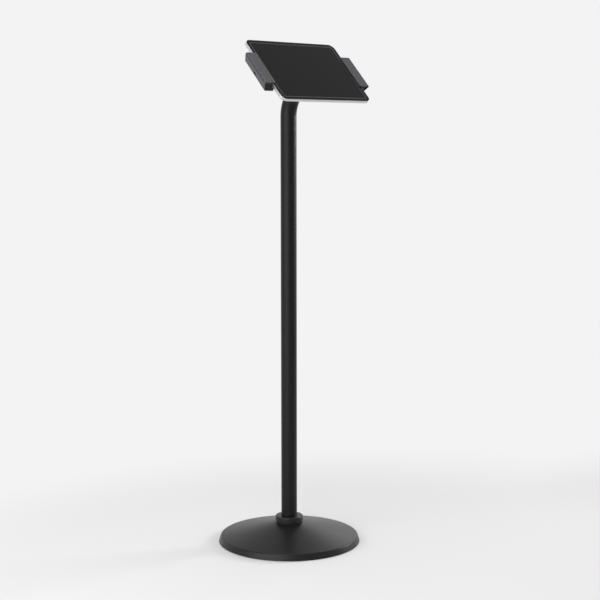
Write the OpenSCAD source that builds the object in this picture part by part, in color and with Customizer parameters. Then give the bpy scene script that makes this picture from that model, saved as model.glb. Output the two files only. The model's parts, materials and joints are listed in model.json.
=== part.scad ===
// Tablet floor stand: a weighted round base, a bent pole, a tilting and swivelling
// head, and a spring-loaded self-centring clamp that holds a tablet by its short edges.
// Frame: +Z up, origin on the floor under the pole, the screen faces -Y.

/* [Base] */
// Diameter of the base at its lower edge
base_d = 315; // [240:1:400]
// How far the rim leans in between its lower and its upper edge
rim_lean = 4.5; // [0:0.5:12]
// Height of the rim's upper edge above the floor
rim_h = 14; // [12:0.2:20]
// Radius of the rounding on the rim's upper edge
rim_round = 3; // [0.5:0.5:4]
// Height of the flat top that carries the collar
base_h = 42; // [34:1:60]
// Width of flat top that shows around the collar
boss_margin = 1.5; // [0.5:0.5:10]
// Sheet thickness of the base shell
base_wall = 2.5; // [1.5:0.1:3]
// Gap between the shell's lower edge and the floor
shell_gap = 1.2; // [0.5:0.1:2]
// Radial room between the ballast plate and the shell's lower edge
weight_side_room = 17; // [8:0.5:60]
// Room between the ballast plate's upper edge and the shell
weight_top_room = 1.5; // [0.5:0.1:3]
// Thickness of the sheet that closes the underside
underplate_t = 1; // [0.6:0.1:1.5]
// Distance from the shell's lower edge in to the rubber ring
floor_ring_inset = 13; // [6:0.5:40]
// Radial width of the rubber ring
floor_ring_w = 22; // [10:1:40]
// Height of the rubber ring
floor_ring_t = 2.2; // [1.8:0.1:3]

/* [Collar] */
// Radial wall of the collar at the foot of the pole
collar_w = 13; // [8:0.1:20]
// Height of the collar
collar_h = 11.8; // [8:0.2:20]
// Radius of the collar's rounded shoulder
collar_round = 2.2; // [1:0.1:5]
// Distance from the collar's top down to the groove around it
collar_groove_down = 3.2; // [2.5:0.1:6]
// Width of the groove around the collar
collar_groove_w = 1; // [0.5:0.1:2]
// Depth of the groove around the collar
collar_groove_depth = 0.7; // [0.3:0.1:2]
// Thickness of the rubber gasket under the collar
gasket_t = 4.5; // [0.5:0.1:6]
// How far the gasket sits in from the collar's edge
gasket_inset = 0.8; // [0.5:0.1:4]

/* [Pole] */
// Outside diameter of the pole tube
tube_d = 35; // [32:0.1:40]
// Wall of the pole tube
tube_wall = 2; // [1.2:0.1:3]
// Height at which the pole starts to bend
bend_z = 941.5; // [600:0.5:1200]
// Radius of the bend on the tube's centre line
bend_r = 70; // [50:1:120]
// Angle of the bend from upright, which is also the slope of the head's axis
bend_angle = 45; // [25:1:65]
// Straight length of tube after the bend
stub_l = 12; // [8:0.5:40]
// Length of the spigot inside the pole's foot
spigot_l = 60; // [45:1:120]

/* [Tilt joint] */
// Thickness of the plug's flange on the tube's end
plug_flange_t = 3; // [2:0.5:8]
// Radius of the tilt lugs
lug_r = 10.5; // [9:0.5:13]
// Room between the tongue and the plug's flange
lug_room = 3.5; // [1:0.5:10]
// Width of the tongue between the two ears
tongue_w = 15; // [10:0.5:16]
// Thickness of each ear
ear_t = 6; // [4:0.5:6.5]
// Diameter of the tilt bolt's shank
tilt_bolt_d = 8; // [6:0.5:9]
// Thickness of each tilt friction washer
tilt_washer_t = 0.5; // [0.3:0.1:0.8]

/* [Swivel joint] */
// Room between the tilt lugs and the swivel flange
flange_room = 2; // [1:0.5:10]
// Diameter of the swivel flange
flange_d = 50; // [40:1:56]
// Thickness of the swivel flange
flange_t = 4.5; // [3:0.5:10]
// Thickness of the friction disc on the flange
disc_t = 0.9; // [0.5:0.1:2]
// Diameter of the swivel bolt's shank
swivel_bolt_d = 8; // [6:0.5:9]
// Diameter of the swivel bolt's head
swivel_head_d = 12.8; // [11:0.1:13]
// Height of the swivel bolt's head
swivel_head_h = 2.8; // [2:0.1:5]
// Thickness of the washer under the swivel bolt's head
swivel_washer_t = 0.5; // [0.3:0.1:1.5]

/* [Clamp housing] */
// Length of the housing along the jaws' travel
housing_l = 150; // [140:1:152]
// Room between the outer prongs and the housing's long walls
housing_side_room = 2.2; // [1:0.1:10]
// Corner radius of the housing
housing_r = 14; // [6:0.5:20]
// Wall of the housing
housing_wall = 2; // [1.5:0.1:3]
// Thickness of the front plate
plate_t = 1.2; // [1:0.1:2.5]
// Thickness of the rubber pad behind the tablet
pad_t = 0.5; // [0.4:0.1:2]
// How far the pad's ends sit in from the housing's ends
pad_end_inset = 15; // [13:0.5:40]

/* [Rack and pinion] */
// Gear module
gear_m = 1; // [0.9:0.05:1.2]
// Teeth on the pinion
pinion_teeth = 18; // [16:2:22]
// Backlash at the pitch line
backlash = 0.25; // [0.15:0.05:0.4]
// Diameter of the pinion's axle post
axle_d = 5; // [3:0.5:7]
// Thickness of the rail forks and of the pinion
rail_t = 3; // [2:0.1:4]
// Width of the toothed prong behind its teeth
rack_prong_w = 8; // [6:0.5:12]
// Width of the plain guide prong
guide_prong_w = 7; // [6:0.5:10]
// Gap between the toothed prong and the other fork's guide prong
prong_gap = 1.6; // [1:0.1:4]
// Opening travel of each jaw
jaw_travel = 30; // [10:1:32]
// Closing travel of each jaw when the clamp is empty
close_travel = 36; // [0:1:36]
// Length of guide prong that stays in the housing at full opening
guide_hold = 20; // [10:1:30]

/* [Jaws] */
// Length of each jaw along the tablet's edge
jaw_l = 89; // [70:1:140]
// How far each jaw stands out beyond the tablet's edge
jaw_out = 25.9; // [20:0.1:30]
// How far the jaw's outer face leans in from its front edge to its rear edge
jaw_lean = 11.9; // [0:0.1:14]
// How far the front lip reaches over the tablet's face
lip_over = 5.5; // [2:0.1:6]
// Thickness of the lip in front of the tablet's face
lip_t = 4; // [3:0.1:8]
// How far the rear leg reaches behind the tablet's edge
leg_over = 11.3; // [6:0.1:11.5]
// How far the rails lie in front of the jaw's rear face
rail_sink = 7.7; // [5:0.1:10]
// Wall of the jaw's cover
cover_t = 2.5; // [2:0.1:3]
// How far the core's ends sit in from the cover's ends
core_inset = 0.8; // [0.2:0.1:2]
// Radius of the jaw's outer front edge
jaw_front_r = 4; // [1:0.5:5]
// Radius of the jaw's outer rear edge
jaw_rear_r = 2; // [0.5:0.5:2.5]
// Thickness of the rubber lining in the jaw's groove
lining_t = 1; // [0.5:0.1:1.2]
// How far the lining's ends sit in from the jaw's ends
lining_inset = 2; // [0.5:0.5:10]
// Width of the release plunger's recess
recess_d = 7; // [6:0.5:8]
// Depth of the release plunger's recess
recess_depth = 4; // [3:0.5:5]
// Diameter of the release plunger
plunger_d = 4.5; // [3:0.5:5]
// Length of the release plunger
plunger_l = 5; // [4:0.5:6]

/* [Tablet] */
// Long side of the tablet
tablet_l = 247.6; // [240:0.1:300]
// Short side of the tablet
tablet_w = 178.5; // [120:0.1:230]
// Thickness of the tablet
tablet_t = 7; // [5:0.1:10]
// Corner radius of the tablet
tablet_r = 14; // [4:0.5:24]
// Thickness of the front glass
glass_t = 0.8; // [0.5:0.1:1.5]
// Width of the metal edge around the glass
glass_inset = 0.7; // [0.3:0.1:2]
// Wall of the tablet's metal tray
tray_wall = 1; // [0.6:0.1:1.8]
// Diameter of the rear camera
camera_d = 14; // [8:0.5:18]
// Height of the rear camera's rim
camera_h = 1.2; // [0.6:0.1:1.4]
// Distance from the tablet's edges in to the rear camera
camera_inset = 17; // [12:0.5:30]

/* [Clearances] */
// Clearance of a turning or located piece in its seat
pin_fit = 0.05; // [0.02:0.01:0.1]
// Gap between faces that turn against each other under light pressure
rub_gap = 0.1; // [0.05:0.05:0.2]
// Gap between sliding faces
slide_gap = 0.3; // [0.2:0.05:0.4]

/* [Hidden] */
$fn = 64;

// Colours
black = "#1d1d1e";
jaw_grey = "#5b5c61";
rubber = "#141414";
steel = "#9a9c9f";
silver = "#c4c6c8";
glass_black = "#0c0c0d";

// How far joined solids run into each other, and how far cutters run past a face
joint_lap = 0.01;
cut_past = 1;

// Pole and collar radii
tube_r = tube_d / 2;
bore_r = tube_r - tube_wall;
collar_in_r = tube_r + pin_fit;
collar_r = collar_in_r + collar_w;
collar_z = base_h + gasket_t;

// Base shell: a cone from the boss down to a leaning rim
base_r = base_d / 2;
rim_r = base_r - rim_lean;
boss_r = collar_r + boss_margin;
cone_slope = (base_h - rim_h) / (rim_r - boss_r);
cone_angle = atan(cone_slope);
lean_angle = atan(rim_lean / (rim_h - shell_gap));
cone_drop = base_wall / cos(cone_angle);
lean_in = base_wall / cos(lean_angle);
function cone_inside(r) = rim_h + (rim_r - r) * cone_slope - cone_drop;
function rim_inside(z) = base_r - lean_in - (z - shell_gap) * tan(lean_angle);

// Ballast, underplate and floor ring
underplate_top = floor_ring_t + underplate_t;
underplate_r = rim_inside(underplate_top) - slide_gap;
weight_r = base_r - lean_in - weight_side_room;
weight_top = cone_inside(weight_r) - weight_top_room;
weight_t = weight_top - underplate_top;
floor_ring_r = base_r - floor_ring_inset;

// Fasteners of the base
base_bolt_r = 5;
base_head_r = 8.5;
base_head_h = 5;
base_washer_r = 12;
base_washer_t = 1.5;
base_recess_room = 1;
base_recess_r = base_washer_r + base_recess_room;
base_recess_h = base_head_h + base_washer_t;
base_seat_z = underplate_top + base_recess_h;
bolt_bite = 30;
sheet_screw_r = 2;
sheet_screw_head_r = 4;
sheet_screw_head_h = 1.4;
sheet_screw_l = 7;
sheet_screw_ring_r = (base_recess_r + floor_ring_r - floor_ring_w) / 2;
sheet_screw_count = 4;
grub_r = 2.5;
grub_count = 2;
grub_start = 5;
grub_step = 90;
grub_sink = 1.5;
grub_key_depth = 2;
grub_key_part = 0.55;
grub_z = collar_z + (collar_h - collar_groove_down - collar_groove_w) / 2;

// Head axis: the bend's end, the tilt pivot, and the levels above the pivot
bend_end_y = -bend_r * (1 - cos(bend_angle));
bend_end_z = bend_z + bend_r * sin(bend_angle);
pivot_rise = plug_flange_t + lug_r + lug_room;
pivot_l = stub_l + pivot_rise;
pivot_y = bend_end_y - pivot_l * sin(bend_angle);
pivot_z = bend_end_z + pivot_l * cos(bend_angle);
flange_back = lug_r + flange_room;
flange_front = flange_back + flange_t;
housing_back = flange_front + disc_t + rub_gap;
housing_floor = housing_back + housing_wall;
swivel_head_back = housing_floor + rub_gap + swivel_washer_t;
rail_back = swivel_head_back + swivel_head_h + slide_gap;
rail_front = rail_back + rail_t;
plate_back = rail_front + slide_gap;
plate_front = plate_back + plate_t;
tablet_back = plate_front + pad_t + slide_gap;
glass_front = tablet_back + tablet_t;

// Tilt joint
ear_gap = 0.15;
ear_in = tongue_w / 2 + ear_gap + tilt_washer_t;
ear_out = ear_in + ear_t;
plug_end_room = 0.5;
plug_l = stub_l - plug_end_room;
tilt_head_r = 6.5;
tilt_head_h = 5;
tilt_hex_r = 3;
tilt_hex_depth = 3;
tilt_nut_r = 7;
tilt_nut_h = 6;
tilt_bolt_past = 1;
tilt_washer_inset = 1;
tilt_washer_r = lug_r - tilt_washer_inset;
swivel_bite = 8;
disc_inset = 2;

// Rack and pinion
pressure_angle = 20;
pitch_r = gear_m * pinion_teeth / 2;
gear_base_r = pitch_r * cos(pressure_angle);
tip_h = 0.9 * gear_m;
root_h = 1.2 * gear_m;
pinion_root_r = pitch_r - root_h;
gear_pitch = PI * gear_m;
tooth_half = (gear_pitch / 2 - backlash) / 2;
flank_steps = 5;
rack_root_y = pitch_r + root_h;
rack_back_y = rack_root_y + rack_prong_w;
guide_in_y = rack_back_y + prong_gap;
guide_out_y = guide_in_y + guide_prong_w;
guide_mid_y = (guide_in_y + guide_out_y) / 2;
mesh_teeth = 2;
rack_end = jaw_travel + mesh_teeth * gear_pitch;
rack_last = floor(rack_end / gear_pitch) - 1;
rack_first = -floor(close_travel / gear_pitch) - mesh_teeth;
guide_end = housing_l / 2 - jaw_travel - guide_hold;

// Return spring on the pinion's skirt
skirt_wall = 0.8;
spring_in_r = pinion_root_r + slide_gap;
spring_turns = 3;
spring_turn_points = 24;
spring_step = 1.4;
spring_strip = 0.5;
spring_out_r = spring_in_r + spring_turns * spring_step + spring_strip;
spring_post_r = 1.2;

// Housing
housing_w = 2 * (guide_out_y + housing_side_room + housing_wall);
housing_depth = plate_back - housing_back;
rib_w = 2.4;
rib_inset = 0.8;
rib_ys = [rack_back_y - rib_w - rib_inset, guide_in_y + rib_inset];
rib_h = rail_back - slide_gap - housing_floor;
screw_r = 1.25;
screw_head_r = 2.4;
screw_head_h = 0.8;
screw_end_room = 0.5;
screw_boss_r = 3.4;
screw_end_inset = 9;
screw_places = [[housing_l / 2 - screw_end_inset, 0], [screw_end_inset - housing_l / 2, 0],
    [0, guide_mid_y], [0, -guide_mid_y]];
pad_l = housing_l - 2 * pad_end_inset;
pad_screw_room = 2;
pad_w = 2 * (guide_mid_y - screw_head_r - pad_screw_room);
pad_r = housing_r / 2;

// Jaws, as seen from the left one
jaw_edge = tablet_l / 2;
jaw_outer = jaw_edge + jaw_out;
lip_inner = jaw_edge - lip_over;
leg_inner = jaw_edge - leg_over;
jaw_back = rail_back - rail_sink;
jaw_front = glass_front + lip_t;
side_angle = atan(jaw_lean / (jaw_front - jaw_back));
cover_back = jaw_back + cover_t;
function jaw_side(z) = jaw_outer - (jaw_front - z) * tan(side_angle);
function cover_inside(z) = jaw_side(z) - cover_t / cos(side_angle);
lip_edge_r = 1;
lining_edge = 0.4;
groove_bottom = jaw_edge + slide_gap + lining_t;
groove_back = tablet_back - slide_gap - lining_t;
groove_front = glass_front + slide_gap + lining_t;
bridge_past_edge = 3;
bridge_sink = 1;
bridge_outer = jaw_edge + bridge_past_edge;
bridge_inner = leg_inner + bridge_sink;
prong_end_wall = 0.7;
prong_outer = cover_inside(cover_back) - prong_end_wall;
rail_screw_r = 1.5;
rail_screw_head_r = 2.7;
rail_screw_head_h = 1.5;
rail_screw_l = 9;
rail_screw_shift = 1;
rail_screw_x = (bridge_outer + prong_outer) / 2 + rail_screw_shift;

// Release plunger
recess_r = recess_d / 2;
plunger_r = plunger_d / 2;
plunger_z = cover_back + recess_r;
recess_x = jaw_side(plunger_z) - recess_depth;
plunger_stand = 1;
plunger_head_x = recess_x + plunger_stand;
plunger_end_x = plunger_head_x - plunger_l;
bore_end_wall = 0.6;
plunger_bore_x = bridge_outer + bore_end_wall;
key_slot_w = 1;
key_slot_depth = 1;
spring_play = 0.2;
spring_wall = 0.6;

// Points on an arc about c, from angle a0 to a1
function arc(c, r, a0, a1, n = 6) =
    [for (i = [0:n]) c + r * [cos(a0 + (a1 - a0) * i / n), sin(a0 + (a1 - a0) * i / n)]];

function polar(r, a) = r * [cos(a), sin(a)];

// Half angle of a pinion tooth at radius r, on an involute flank
function roll(r) = r <= gear_base_r ? 0 : sqrt(pow(r / gear_base_r, 2) - 1);
function involute(r) = roll(r) * 180 / PI - atan(roll(r));
function flank(r) = tooth_half / pitch_r * 180 / PI + involute(pitch_r) - involute(r);

module lift(z) {
    translate([0, 0, z]) children();
}

module ring_2d(outer_r, inner_r) {
    difference() {
        circle(r = outer_r);
        circle(r = inner_r);
    }
}

module ring(outer_r, inner_r, h) {
    linear_extrude(h) ring_2d(outer_r, inner_r);
}

// Bar along X from x0 to x1
module bar_x(r, x0, x1) {
    translate([x0, 0, 0]) rotate([0, 90, 0]) cylinder(r = r, h = x1 - x0);
}

module rounded_plate(l, w, r, h) {
    linear_extrude(h) {
        square([l - 2 * r, w], center = true);
        square([l, w - 2 * r], center = true);
        for (x = [-1, 1], y = [-1, 1])
            translate([x * (l / 2 - r), y * (w / 2 - r)]) circle(r = r);
    }
}

// Pan-head screw: its head below z = 0, its shank above
module pan_screw(head_r, head_h, r, l) {
    key_part = 0.45;
    key_depth = 0.6 * head_h;
    difference() {
        lift(-head_h) cylinder(r = head_r, h = head_h);
        lift(-head_h - cut_past) cylinder(r = head_r * key_part, h = cut_past + key_depth, $fn = 6);
    }
    cylinder(r = r, h = l);
}

// Head frame: origin at the tilt pivot, +Z out of the screen, +Y up the slope
module head() {
    translate([0, pivot_y, pivot_z]) rotate([bend_angle, 0, 0]) children();
}

module base_shell() {
    turn = 90 - lean_angle - cone_angle;
    tangent = rim_round * tan(turn / 2);
    centre = [rim_r, rim_h] + tangent * [-cos(cone_angle), sin(cone_angle)]
        - rim_round * [sin(cone_angle), cos(cone_angle)];
    hole_r = tube_r + slide_gap;
    inner_rim_r = rim_inside(rim_h - base_wall);
    color(black) rotate_extrude($fn = 128) polygon(concat(
        [[base_r, shell_gap]],
        arc(centre, rim_round, lean_angle, 90 - cone_angle),
        [[boss_r, base_h], [hole_r, base_h], [hole_r, base_h - cone_drop], [boss_r, base_h - cone_drop],
         [inner_rim_r, cone_inside(inner_rim_r)], [base_r - lean_in, shell_gap]]));
}

module sheet_screw_places() {
    for (i = [0:sheet_screw_count - 1])
        rotate(45 + i * 360 / sheet_screw_count) translate([sheet_screw_ring_r, 0, floor_ring_t]) children();
}

module base_weight() {
    color(steel) difference() {
        lift(underplate_top) cylinder(r = weight_r, h = weight_t);
        lift(underplate_top - cut_past) cylinder(r = base_recess_r, h = base_recess_h + cut_past);
        lift(underplate_top) cylinder(r = base_bolt_r + slide_gap, h = weight_t + cut_past);
        sheet_screw_places() cylinder(r = sheet_screw_r + pin_fit, h = sheet_screw_l + screw_end_room);
    }
}

module base_underplate() {
    color(black) difference() {
        lift(floor_ring_t) cylinder(r = underplate_r, h = underplate_t);
        lift(floor_ring_t - cut_past) cylinder(r = base_recess_r, h = underplate_t + 2 * cut_past);
        sheet_screw_places() lift(-cut_past)
            cylinder(r = sheet_screw_r + pin_fit, h = underplate_t + 2 * cut_past);
    }
}

module underplate_screws() {
    color(steel) sheet_screw_places()
        pan_screw(sheet_screw_head_r, sheet_screw_head_h, sheet_screw_r, sheet_screw_l);
}

module floor_ring() {
    color(rubber) ring(floor_ring_r, floor_ring_r - floor_ring_w, floor_ring_t);
}

module base_bolt() {
    head_z = base_seat_z - base_washer_t - base_head_h;
    shank_z = head_z + base_head_h;
    color(steel) {
        lift(head_z) cylinder(r = base_head_r, h = base_head_h, $fn = 6);
        lift(shank_z) cylinder(r = base_bolt_r, h = weight_top + bolt_bite - shank_z);
    }
}

module base_washer() {
    color(steel) lift(base_seat_z - base_washer_t) ring(base_washer_r, base_bolt_r + pin_fit, base_washer_t);
}

module pole_spigot() {
    color(steel) lift(weight_top) difference() {
        cylinder(r = bore_r - pin_fit, h = spigot_l);
        lift(-cut_past) cylinder(r = base_bolt_r + pin_fit, h = bolt_bite + 2 * cut_past);
    }
}

module collar_gasket() {
    color(rubber) lift(base_h) ring(collar_r - gasket_inset, tube_r + slide_gap, gasket_t);
}

module grub_places() {
    for (i = [0:grub_count - 1])
        lift(grub_z) rotate(grub_start + i * grub_step) rotate([0, 90, 0]) children();
}

module collar() {
    chamfer = 1;
    groove_top = collar_h - collar_groove_down;
    groove_low = groove_top - collar_groove_w;
    groove_r = collar_r - collar_groove_depth;
    color(black) difference() {
        lift(collar_z) rotate_extrude() polygon(concat(
            [[collar_in_r, 0], [collar_r - chamfer, 0], [collar_r, chamfer],
             [collar_r, groove_low], [groove_r, groove_low], [groove_r, groove_top], [collar_r, groove_top]],
            arc([collar_r - collar_round, collar_h - collar_round], collar_round, 0, 90),
            [[collar_in_r, collar_h]]));
        grub_places() cylinder(r = grub_r + pin_fit, h = collar_r + cut_past);
    }
}

module collar_grub_screws() {
    length = collar_w - grub_sink;
    color(steel) grub_places() lift(collar_in_r) difference() {
        cylinder(r = grub_r, h = length);
        lift(length - grub_key_depth)
            cylinder(r = grub_r * grub_key_part, h = grub_key_depth + cut_past, $fn = 6);
    }
}

// The straight run, the bend and the short run after it share the bend's own frame
module pole_tube() {
    color(black) translate([0, -bend_r, bend_z]) rotate([90, 0, 90]) {
        rotate_extrude(angle = bend_angle, $fn = 128) translate([bend_r, 0]) ring_2d(tube_r, bore_r);
        translate([bend_r, 0, 0]) rotate([90, 0, 0]) ring(tube_r, bore_r, bend_z - weight_top);
        rotate(bend_angle) translate([bend_r, stub_l, 0]) rotate([90, 0, 0]) ring(tube_r, bore_r, stub_l);
    }
}

module ears() {
    root_z = plug_flange_t - pivot_rise - joint_lap;
    for (x = [-ear_out, ear_in]) {
        bar_x(lug_r, x, x + ear_t);
        translate([x, -lug_r, root_z]) cube([ear_t, 2 * lug_r, -root_z]);
    }
}

module neck_plug() {
    color(black) head() difference() {
        union() {
            lift(-pivot_rise - plug_l) cylinder(r = bore_r - pin_fit, h = plug_l + joint_lap);
            lift(-pivot_rise) cylinder(r = tube_r, h = plug_flange_t);
            intersection() {
                ears();
                lift(-pivot_rise) cylinder(r = tube_r, h = pivot_rise + lug_r + cut_past);
            }
        }
        bar_x(tilt_bolt_d / 2 + pin_fit, -ear_out - cut_past, ear_out + cut_past);
    }
}

module tilt_bolt() {
    color(steel) head() difference() {
        union() {
            bar_x(tilt_head_r, -ear_out - tilt_head_h, -ear_out);
            bar_x(tilt_bolt_d / 2, -ear_out - joint_lap, ear_out + tilt_nut_h + tilt_bolt_past);
        }
        translate([-ear_out - tilt_head_h - cut_past, 0, 0]) rotate([0, 90, 0])
            cylinder(r = tilt_hex_r, h = tilt_hex_depth + cut_past, $fn = 6);
    }
}

module tilt_nut() {
    color(steel) head() translate([ear_out, 0, 0]) rotate([0, 90, 0]) difference() {
        cylinder(r = tilt_nut_r, h = tilt_nut_h, $fn = 6);
        lift(-cut_past) cylinder(r = tilt_bolt_d / 2 + pin_fit, h = tilt_nut_h + 2 * cut_past);
    }
}

module tilt_washers() {
    color(rubber) head() for (x = [-ear_in, ear_in - tilt_washer_t])
        translate([x, 0, 0]) rotate([0, 90, 0])
            ring(tilt_washer_r, tilt_bolt_d / 2 + pin_fit, tilt_washer_t);
}

module tilt_knuckle() {
    color(black) head() difference() {
        union() {
            bar_x(lug_r, -tongue_w / 2, tongue_w / 2);
            translate([-tongue_w / 2, -lug_r, 0]) cube([tongue_w, 2 * lug_r, flange_back + joint_lap]);
            lift(flange_back) cylinder(r = flange_d / 2, h = flange_t);
        }
        bar_x(tilt_bolt_d / 2 + pin_fit, -tongue_w / 2 - cut_past, tongue_w / 2 + cut_past);
        lift(flange_front - swivel_bite)
            cylinder(r = swivel_bolt_d / 2 + pin_fit, h = swivel_bite + cut_past);
    }
}

module swivel_disc() {
    color(rubber) head() lift(flange_front)
        ring(flange_d / 2 - disc_inset, swivel_bolt_d / 2 + pin_fit, disc_t);
}

module swivel_bolt() {
    shank_back = flange_front - swivel_bite;
    color(steel) head() {
        lift(shank_back) cylinder(r = swivel_bolt_d / 2, h = swivel_head_back - shank_back);
        lift(swivel_head_back) cylinder(d = swivel_head_d, h = swivel_head_h);
    }
}

module swivel_washer() {
    color(steel) head() lift(swivel_head_back - swivel_washer_t)
        ring(swivel_head_d / 2, swivel_bolt_d / 2 + pin_fit, swivel_washer_t);
}

// Cutters where one fork's two prongs leave the housing on the -X side
module prong_slots() {
    x0 = -housing_l / 2 - cut_past;
    l = housing_r + housing_wall + 2 * cut_past;
    z0 = rail_back - slide_gap;
    h = plate_back - z0 + cut_past;
    rack_y = pitch_r - tip_h - slide_gap;
    translate([x0, rack_y, z0]) cube([l, rack_back_y + slide_gap - rack_y, h]);
    translate([x0, -guide_out_y - slide_gap, z0]) cube([l, guide_prong_w + 2 * slide_gap, h]);
}

module clamp_housing() {
    inner_l = housing_l - 2 * housing_wall;
    inner_w = housing_w - 2 * housing_wall;
    color(black) head() difference() {
        union() {
            difference() {
                lift(housing_back) rounded_plate(housing_l, housing_w, housing_r, housing_depth);
                lift(housing_floor) rounded_plate(inner_l, inner_w, housing_r - housing_wall, housing_depth);
            }
            lift(housing_floor - joint_lap) {
                for (y = rib_ys, side = [0, 180])
                    rotate(side) translate([-inner_l / 2, y, 0]) cube([inner_l, rib_w, rib_h + joint_lap]);
                for (p = screw_places)
                    translate(p) cylinder(r = screw_boss_r, h = plate_back - housing_floor + joint_lap);
                translate([spring_out_r + slide_gap + spring_post_r, 0, 0])
                    cylinder(r = spring_post_r, h = rib_h + joint_lap);
            }
        }
        prong_slots();
        rotate(180) prong_slots();
        lift(housing_back - cut_past)
            cylinder(r = swivel_bolt_d / 2 + rub_gap, h = housing_wall + 2 * cut_past);
        lift(housing_floor) for (p = screw_places)
            translate(p) cylinder(r = screw_r + pin_fit, h = housing_depth);
    }
}

module clamp_front_plate() {
    post_back = rail_back + rub_gap;
    color(black) head() difference() {
        union() {
            lift(plate_back) rounded_plate(housing_l, housing_w, housing_r, plate_t);
            lift(post_back) cylinder(d = axle_d, h = plate_back - post_back + joint_lap);
        }
        lift(plate_back) for (p = screw_places) translate(p) {
            lift(-cut_past) cylinder(r = screw_r + pin_fit, h = plate_t + 2 * cut_past);
            lift(plate_t - screw_head_h) cylinder(r = screw_head_r + pin_fit, h = screw_head_h + cut_past);
        }
    }
}

module clamp_pad() {
    color(rubber) head() lift(plate_front) rounded_plate(pad_l, pad_w, pad_r, pad_t);
}

module housing_screws() {
    seat = plate_front - screw_head_h;
    key_r = 1;
    length = seat - housing_floor - screw_end_room;
    color(steel) head() for (p = screw_places) translate([p[0], p[1], seat]) {
        difference() {
            cylinder(r = screw_head_r, h = screw_head_h);
            lift(screw_head_h / 2) cylinder(r = key_r, h = screw_head_h, $fn = 6);
        }
        lift(-length) cylinder(r = screw_r, h = length);
    }
}

module pinion() {
    tooth_angle = 360 / pinion_teeth;
    step = (tip_h + root_h) / flank_steps;
    radii = [for (i = [0:flank_steps]) pinion_root_r + i * step];
    outline = [for (k = [0:pinion_teeth - 1]) let (mid = 90 + tooth_angle * (k + 0.5)) each concat(
        [for (i = [0:flank_steps]) polar(radii[i], mid - flank(radii[i]))],
        [for (i = [flank_steps:-1:0]) polar(radii[i], mid + flank(radii[i]))])];
    skirt_back = swivel_head_back;
    skirt_h = rail_back - skirt_back + joint_lap;
    color(steel) head() {
        lift(rail_back) linear_extrude(rail_t) difference() {
            polygon(outline);
            circle(r = axle_d / 2 + pin_fit);
        }
        lift(skirt_back) ring(pinion_root_r - joint_lap, pinion_root_r - skirt_wall, skirt_h);
    }
}

// Flat spiral strip between the pinion's skirt and a post in the housing
module return_spring() {
    last = spring_turns * spring_turn_points;
    function at(i, off) =
        polar(spring_in_r + off + spring_step * i / spring_turn_points, 360 * i / spring_turn_points);
    color(steel) head() lift(swivel_head_back) linear_extrude(swivel_head_h - slide_gap) polygon(concat(
        [for (i = [0:last]) at(i, 0)], [for (i = [last:-1:0]) at(i, spring_strip)]));
}

// Fork of the left jaw: a toothed prong, a guide prong and the bridge that joins them in the jaw
module fork_outline(grow = 0) {
    translate([-prong_outer - grow, rack_root_y - grow])
        square([prong_outer - bridge_inner + grow, rack_prong_w + 2 * grow]);
    translate([-prong_outer - grow, -guide_out_y - grow])
        square([prong_outer - bridge_inner + grow, guide_prong_w + 2 * grow]);
    translate([-bridge_outer - grow, -guide_out_y - grow])
        square([bridge_outer - bridge_inner + grow, guide_out_y + rack_back_y + 2 * grow]);
}

module rack_teeth() {
    tip = tooth_half - tip_h * tan(pressure_angle);
    root = tooth_half + root_h * tan(pressure_angle);
    tip_y = pitch_r - tip_h;
    root_y = rack_root_y + joint_lap;
    for (k = [rack_first:rack_last]) translate([k * gear_pitch, 0])
        polygon([[-root, root_y], [-tip, tip_y], [tip, tip_y], [root, root_y]]);
}

module rail_screw_places() {
    for (y = [(rack_root_y + rack_back_y) / 2, -guide_mid_y])
        translate([-rail_screw_x, y, rail_back]) children();
}

module rail() {
    difference() {
        lift(rail_back) linear_extrude(rail_t) {
            fork_outline();
            translate([-bridge_outer, rack_root_y]) square([bridge_outer + rack_end, rack_prong_w]);
            translate([-bridge_outer, -guide_out_y]) square([bridge_outer - guide_end, guide_prong_w]);
            rack_teeth();
        }
        rail_screw_places() lift(-cut_past) cylinder(r = rail_screw_r + pin_fit, h = rail_t + 2 * cut_past);
    }
}

module rail_screws() {
    rail_screw_places() pan_screw(rail_screw_head_r, rail_screw_head_h, rail_screw_r, rail_screw_l);
}

// Section of the left jaw's cover: x along the jaws' travel, y out of the screen
module cover_section() {
    rear_reach = jaw_rear_r / tan((90 + side_angle) / 2);
    front_reach = jaw_front_r / tan((90 - side_angle) / 2);
    polygon(concat(
        arc([rear_reach - jaw_side(jaw_back), jaw_back + jaw_rear_r], jaw_rear_r, 270, 180 + side_angle),
        arc([front_reach - jaw_outer, jaw_front - jaw_front_r], jaw_front_r, 180 + side_angle, 90),
        arc([-lip_inner - lip_edge_r, jaw_front - lip_edge_r], lip_edge_r, 90, 0, 3),
        [[-lip_inner, groove_front], [-cover_inside(groove_front), groove_front],
         [-cover_inside(cover_back), cover_back], [-leg_inner, cover_back], [-leg_inner, jaw_back]]));
}

// Section of the core that fills the cover and holds the lining
module core_section() {
    polygon([[-leg_inner, cover_back], [-cover_inside(cover_back), cover_back],
        [-cover_inside(groove_front), groove_front], [-groove_bottom, groove_front],
        [-groove_bottom, groove_back], [-leg_inner, groove_back]]);
}

// Runs a section along the tablet's short edge
module along_edge(l) {
    translate([0, l / 2, 0]) rotate([90, 0, 0]) linear_extrude(l) children();
}

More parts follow.
